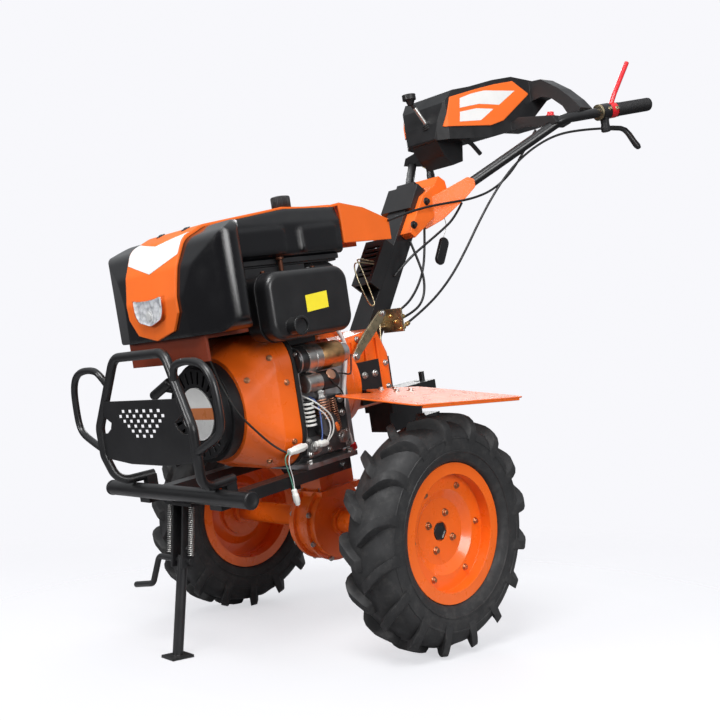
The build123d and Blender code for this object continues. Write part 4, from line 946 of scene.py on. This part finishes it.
def handlebar_end(name, side):
    """The ribbed grip, the lever's clamp with two bolts, and the lever's flattened, bent blade."""
    way = aim(GRIP_AXIS[0], side * GRIP_AXIS[1], GRIP_AXIS[2])
    grip = lathe(f"grip_ribbed_{name}", "grip_rubber", [(on_grip(0, side), way)], GRIP, 40)
    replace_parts(grip, f"grip_{name}")
    clamp = Shape()
    clamp.turned(on_grip(166, side), way, CLAMP, 32)
    for distance, rise, reach in ((152, 0.2, 19), (128, 0.1, 18.6)):
        out = aim(0, side, rise)
        clamp.bolt(on_grip(distance, side) + out * reach * MM, out, 8.0)
    clamp.piece(f"lever_clamp_{name}", "zinc_steel")
    rows = []
    for distance, out, drop, thick, wide in LEVER:
        middle = on_grip(distance, side) + (aim(0, side, 0) * out + UP * drop) * MM
        row = []
        for step in range(LEVER_SIDES):
            angle = 2 * math.pi * step / LEVER_SIDES
            flat = aim(0, side, 0.2) * wide * math.cos(angle)
            deep = aim(0.7, 0, 0.7) * thick * math.sin(angle)
            row.append(middle + (flat + deep) * MM)
        rows.append(row)
    blade = Shape()
    blade.skin(rows)
    blade.turned(on_grip(152, side) - UP * 10 * MM, -UP, LEVER_PIVOT, 8)
    blade.piece(f"lever_blade_{name}", "black_paint")


STRIPES = (
    ("upper", [(-566, 926), (-600, 936), (-640, 943), (-738, 941), (-682, 906), (-620, 910), (-562, 902)]),
    ("lower", [(-561, 892), (-610, 899), (-662, 896), (-620, 869), (-557, 868)]),
)
for name, side in SIDES:
    handlebar_end(name, side)
    for part, outline in STRIPES:
        patch(f"dash_stripe_{part}_{name}", "console_panel", outline, facing_left, side * BESIDE,
              (0, -side, 0), "bare_white", 0.2, 8)

STICK = [(level(-514, 15, 868), aim(40, -10, 62))]
lathe("gear_stick", "bright_zinc", STICK, [(4, 5.4), (58, 5.4), (60, 4.9)], 24)
lathe("gear_boot", "seal", STICK, [(0, 15), (2, 16), (4, 12.5), (6, 13.5), (8, 10), (10, 11), (13, 6.4)], 32)
lathe("stop_button", "red_plastic", [on_surface("console", (-745, 226, 950), (0, 0, -1))],
      [(-1, 11), (3, 11), (3.6, 8.5), (9, 8.5), (11, 7), (11.6, 3)], 30)

FOB_MIDDLE = Vector((-438, 61, 553))
FOB_LONG = Vector((38, 0, -62)).normalized()
FOB_WIDE = Vector((62, 0, 38)).normalized()
fob_loop = rounded_loop(-14, 14, -36, 36, 12, 6)
fob = Shape()
fob.slab(levels(FOB_MIDDLE + FOB_LONG * long + FOB_WIDE * wide for wide, long in fob_loop), (0, 1, 0), 9.0)
fob.piece("key_fob", "black_plastic")

bolts("column_bolts", "black_paint", [(*on_surface("column_cover", (x, side * 200, z), (0, -side, 0)), 12.0)
                                      for side in (-1, 1) for x, z in ((-352, 622), (-410, 676))])


# Front frame and stand

CROSSBAR_X, CROSSBAR_Z, BAR_CAP_Y = 367.6, 155.8, 232.0
BAR_CAP = [(0, 15.1), (1, 15.8), (6, 15.8), (7.6, 14.4), (8, 10), (7, 8)]
cap_mounts = [(level(CROSSBAR_X, side * BAR_CAP_Y, CROSSBAR_Z), aim(0, side, 0)) for side in (-1, 1)]
lathe("crossbar_caps", "black_plastic", cap_mounts, BAR_CAP, 40)
frame_heads = []
for side in (-1, 1):
    frame_heads += [(level(x, side * 140.2, 140), aim(0, side, 0), 11.0) for x in (60, 300, 340)]
    frame_heads.append((STAND_HINGE + Vector((0, side * 19.6, 22)) * MM, Vector((0, side, 0)), 9.0))
    frame_heads.append((level(338, side * 135, 171.6), UP, 10.0))
bolts("frame_bolts", "black_paint", frame_heads)

WING = ((404, 119, 373), (411, 129, 396), (412, 150, 407), (412, 196, 408), (412, 228, 398), (412, 246, 372),
        (412, 250, 330), (412, 249, 296), (412, 236, 278), (412, 200, 262), (412, 169, 250))
WING_OD = 14.0
for name, side in SIDES:
    wing = wire(f"wing_bar_{name}", [(x, side * y, z) for x, y, z in WING], WING_OD, "black_paint")
    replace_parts(wing, "bumper_wings")

SPRING_X, SPRING_Y, SPRING_LOW, SPRING_LENGTH = 6, 36, 12.0, 92.0
SPRING_R, SPRING_WIRE, SPRING_TURNS = 4.9, 2.1, 26
springs = Shape()
for side in (-1, 1):
    foot = STAND_HINGE + Vector((SPRING_X, side * SPRING_Y, SPRING_LOW)) * MM
    springs.coil(foot, Vector((0, 0, 1)), SPRING_R, SPRING_WIRE, SPRING_LENGTH, SPRING_TURNS, 12, 6)
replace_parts(springs.piece("stand_coils", "bright_zinc"), "stand_springs")


# Camera, floor and light

CAMERA_AT = Vector((1.317 + AXLE.x, 1.453, 0.431))
CAMERA_LOOK = Vector((-0.69542, -0.71455, 0.07628))
LENS = 44.04

camera = bpy.data.objects.new("camera", bpy.data.cameras.new("camera"))
camera.data.lens = LENS
camera.data.sensor_width = 36.0
camera.data.sensor_fit = "HORIZONTAL"
camera.location = CAMERA_AT
camera.rotation_euler = CAMERA_LOOK.to_track_quat("-Z", "Y").to_euler()
bpy.context.scene.collection.objects.link(camera)
bpy.context.scene.camera = camera

BACKDROP = (0.938, 0.938, 0.972)


def floor():
    """A pale floor that takes a faint shadow and fades into the backdrop around the machine."""
    mesh = bpy.data.meshes.new("floor")
    shape = bmesh.new()
    bmesh.ops.create_circle(shape, cap_ends=True, segments=96, radius=4.0)
    shape.to_mesh(mesh)
    shape.free()
    plane = bpy.data.objects.new("floor", mesh)
    plane.location.z = -0.0005
    bpy.context.scene.collection.objects.link(plane)
    nodes = Nodes("floor", Roughness=0.9)
    nodes.colour(nodes.ramp(nodes.noise(0.6, 2), [(0.2, (0.80, 0.80, 0.82)), (0.8, (0.82, 0.82, 0.84))]))
    length = nodes.add("ShaderNodeVectorMath", operation="LENGTH")
    nodes.link(nodes.place, length.inputs[0])
    nodes.link(nodes.spread(length.outputs["Value"], 0.36, 0.0, 0.7, 2.0), nodes.shader.inputs["Alpha"])
    mesh.materials.append(nodes.material)


def area_light(name, place, aim_at, size, power):
    """A soft square lamp."""
    lamp = bpy.data.lights.new(name, "AREA")
    lamp.size = size
    lamp.energy = power
    holder = bpy.data.objects.new(name, lamp)
    holder.location = place
    holder.rotation_euler = (Vector(aim_at) - Vector(place)).to_track_quat("-Z", "Y").to_euler()
    bpy.context.scene.collection.objects.link(holder)


def backdrop():
    """A plain pale backdrop, dimmer as a source of light than it looks."""
    world = bpy.data.worlds.new("studio")
    bpy.context.scene.world = world
    world.use_nodes = True
    tree = world.node_tree
    add, link = tree.nodes.new, tree.links.new
    seen = tree.nodes["Background"]
    seen.inputs["Color"].default_value = (*BACKDROP, 1.0)
    lit = add("ShaderNodeBackground")
    direction = add("ShaderNodeTexCoord")
    parts = add("ShaderNodeSeparateXYZ")
    link(direction.outputs["Generated"], parts.inputs["Vector"])
    heights = add("ShaderNodeValToRGB")
    low, high = heights.color_ramp.elements
    low.position = 0.0
    low.color = (0.10, 0.10, 0.105, 1.0)
    high.position = 0.9
    high.color = (0.62, 0.64, 0.66, 1.0)
    link(parts.outputs["Z"], heights.inputs["Fac"])
    link(heights.outputs["Color"], lit.inputs["Color"])
    rays = add("ShaderNodeLightPath")
    mix = add("ShaderNodeMixShader")
    link(rays.outputs["Is Camera Ray"], mix.inputs["Fac"])
    link(lit.outputs["Background"], mix.inputs[1])
    link(seen.outputs["Background"], mix.inputs[2])
    link(mix.outputs["Shader"], tree.nodes["World Output"].inputs["Surface"])


floor()
area_light("key", (2.4, 1.4, 3.4), (0.1, 0, 0.6), 1.6, 135)
area_light("fill", (1.0, 4.2, 1.5), (0, 0, 0.6), 1.7, 95)
area_light("side", (4.4, -0.6, 1.3), (0, 0, 0.5), 1.2, 60)
area_light("back", (-3.0, -2.4, 3.0), (0, 0, 0.8), 2.0, 70)
backdrop()
bpy.context.scene.view_settings.view_transform = "Standard"
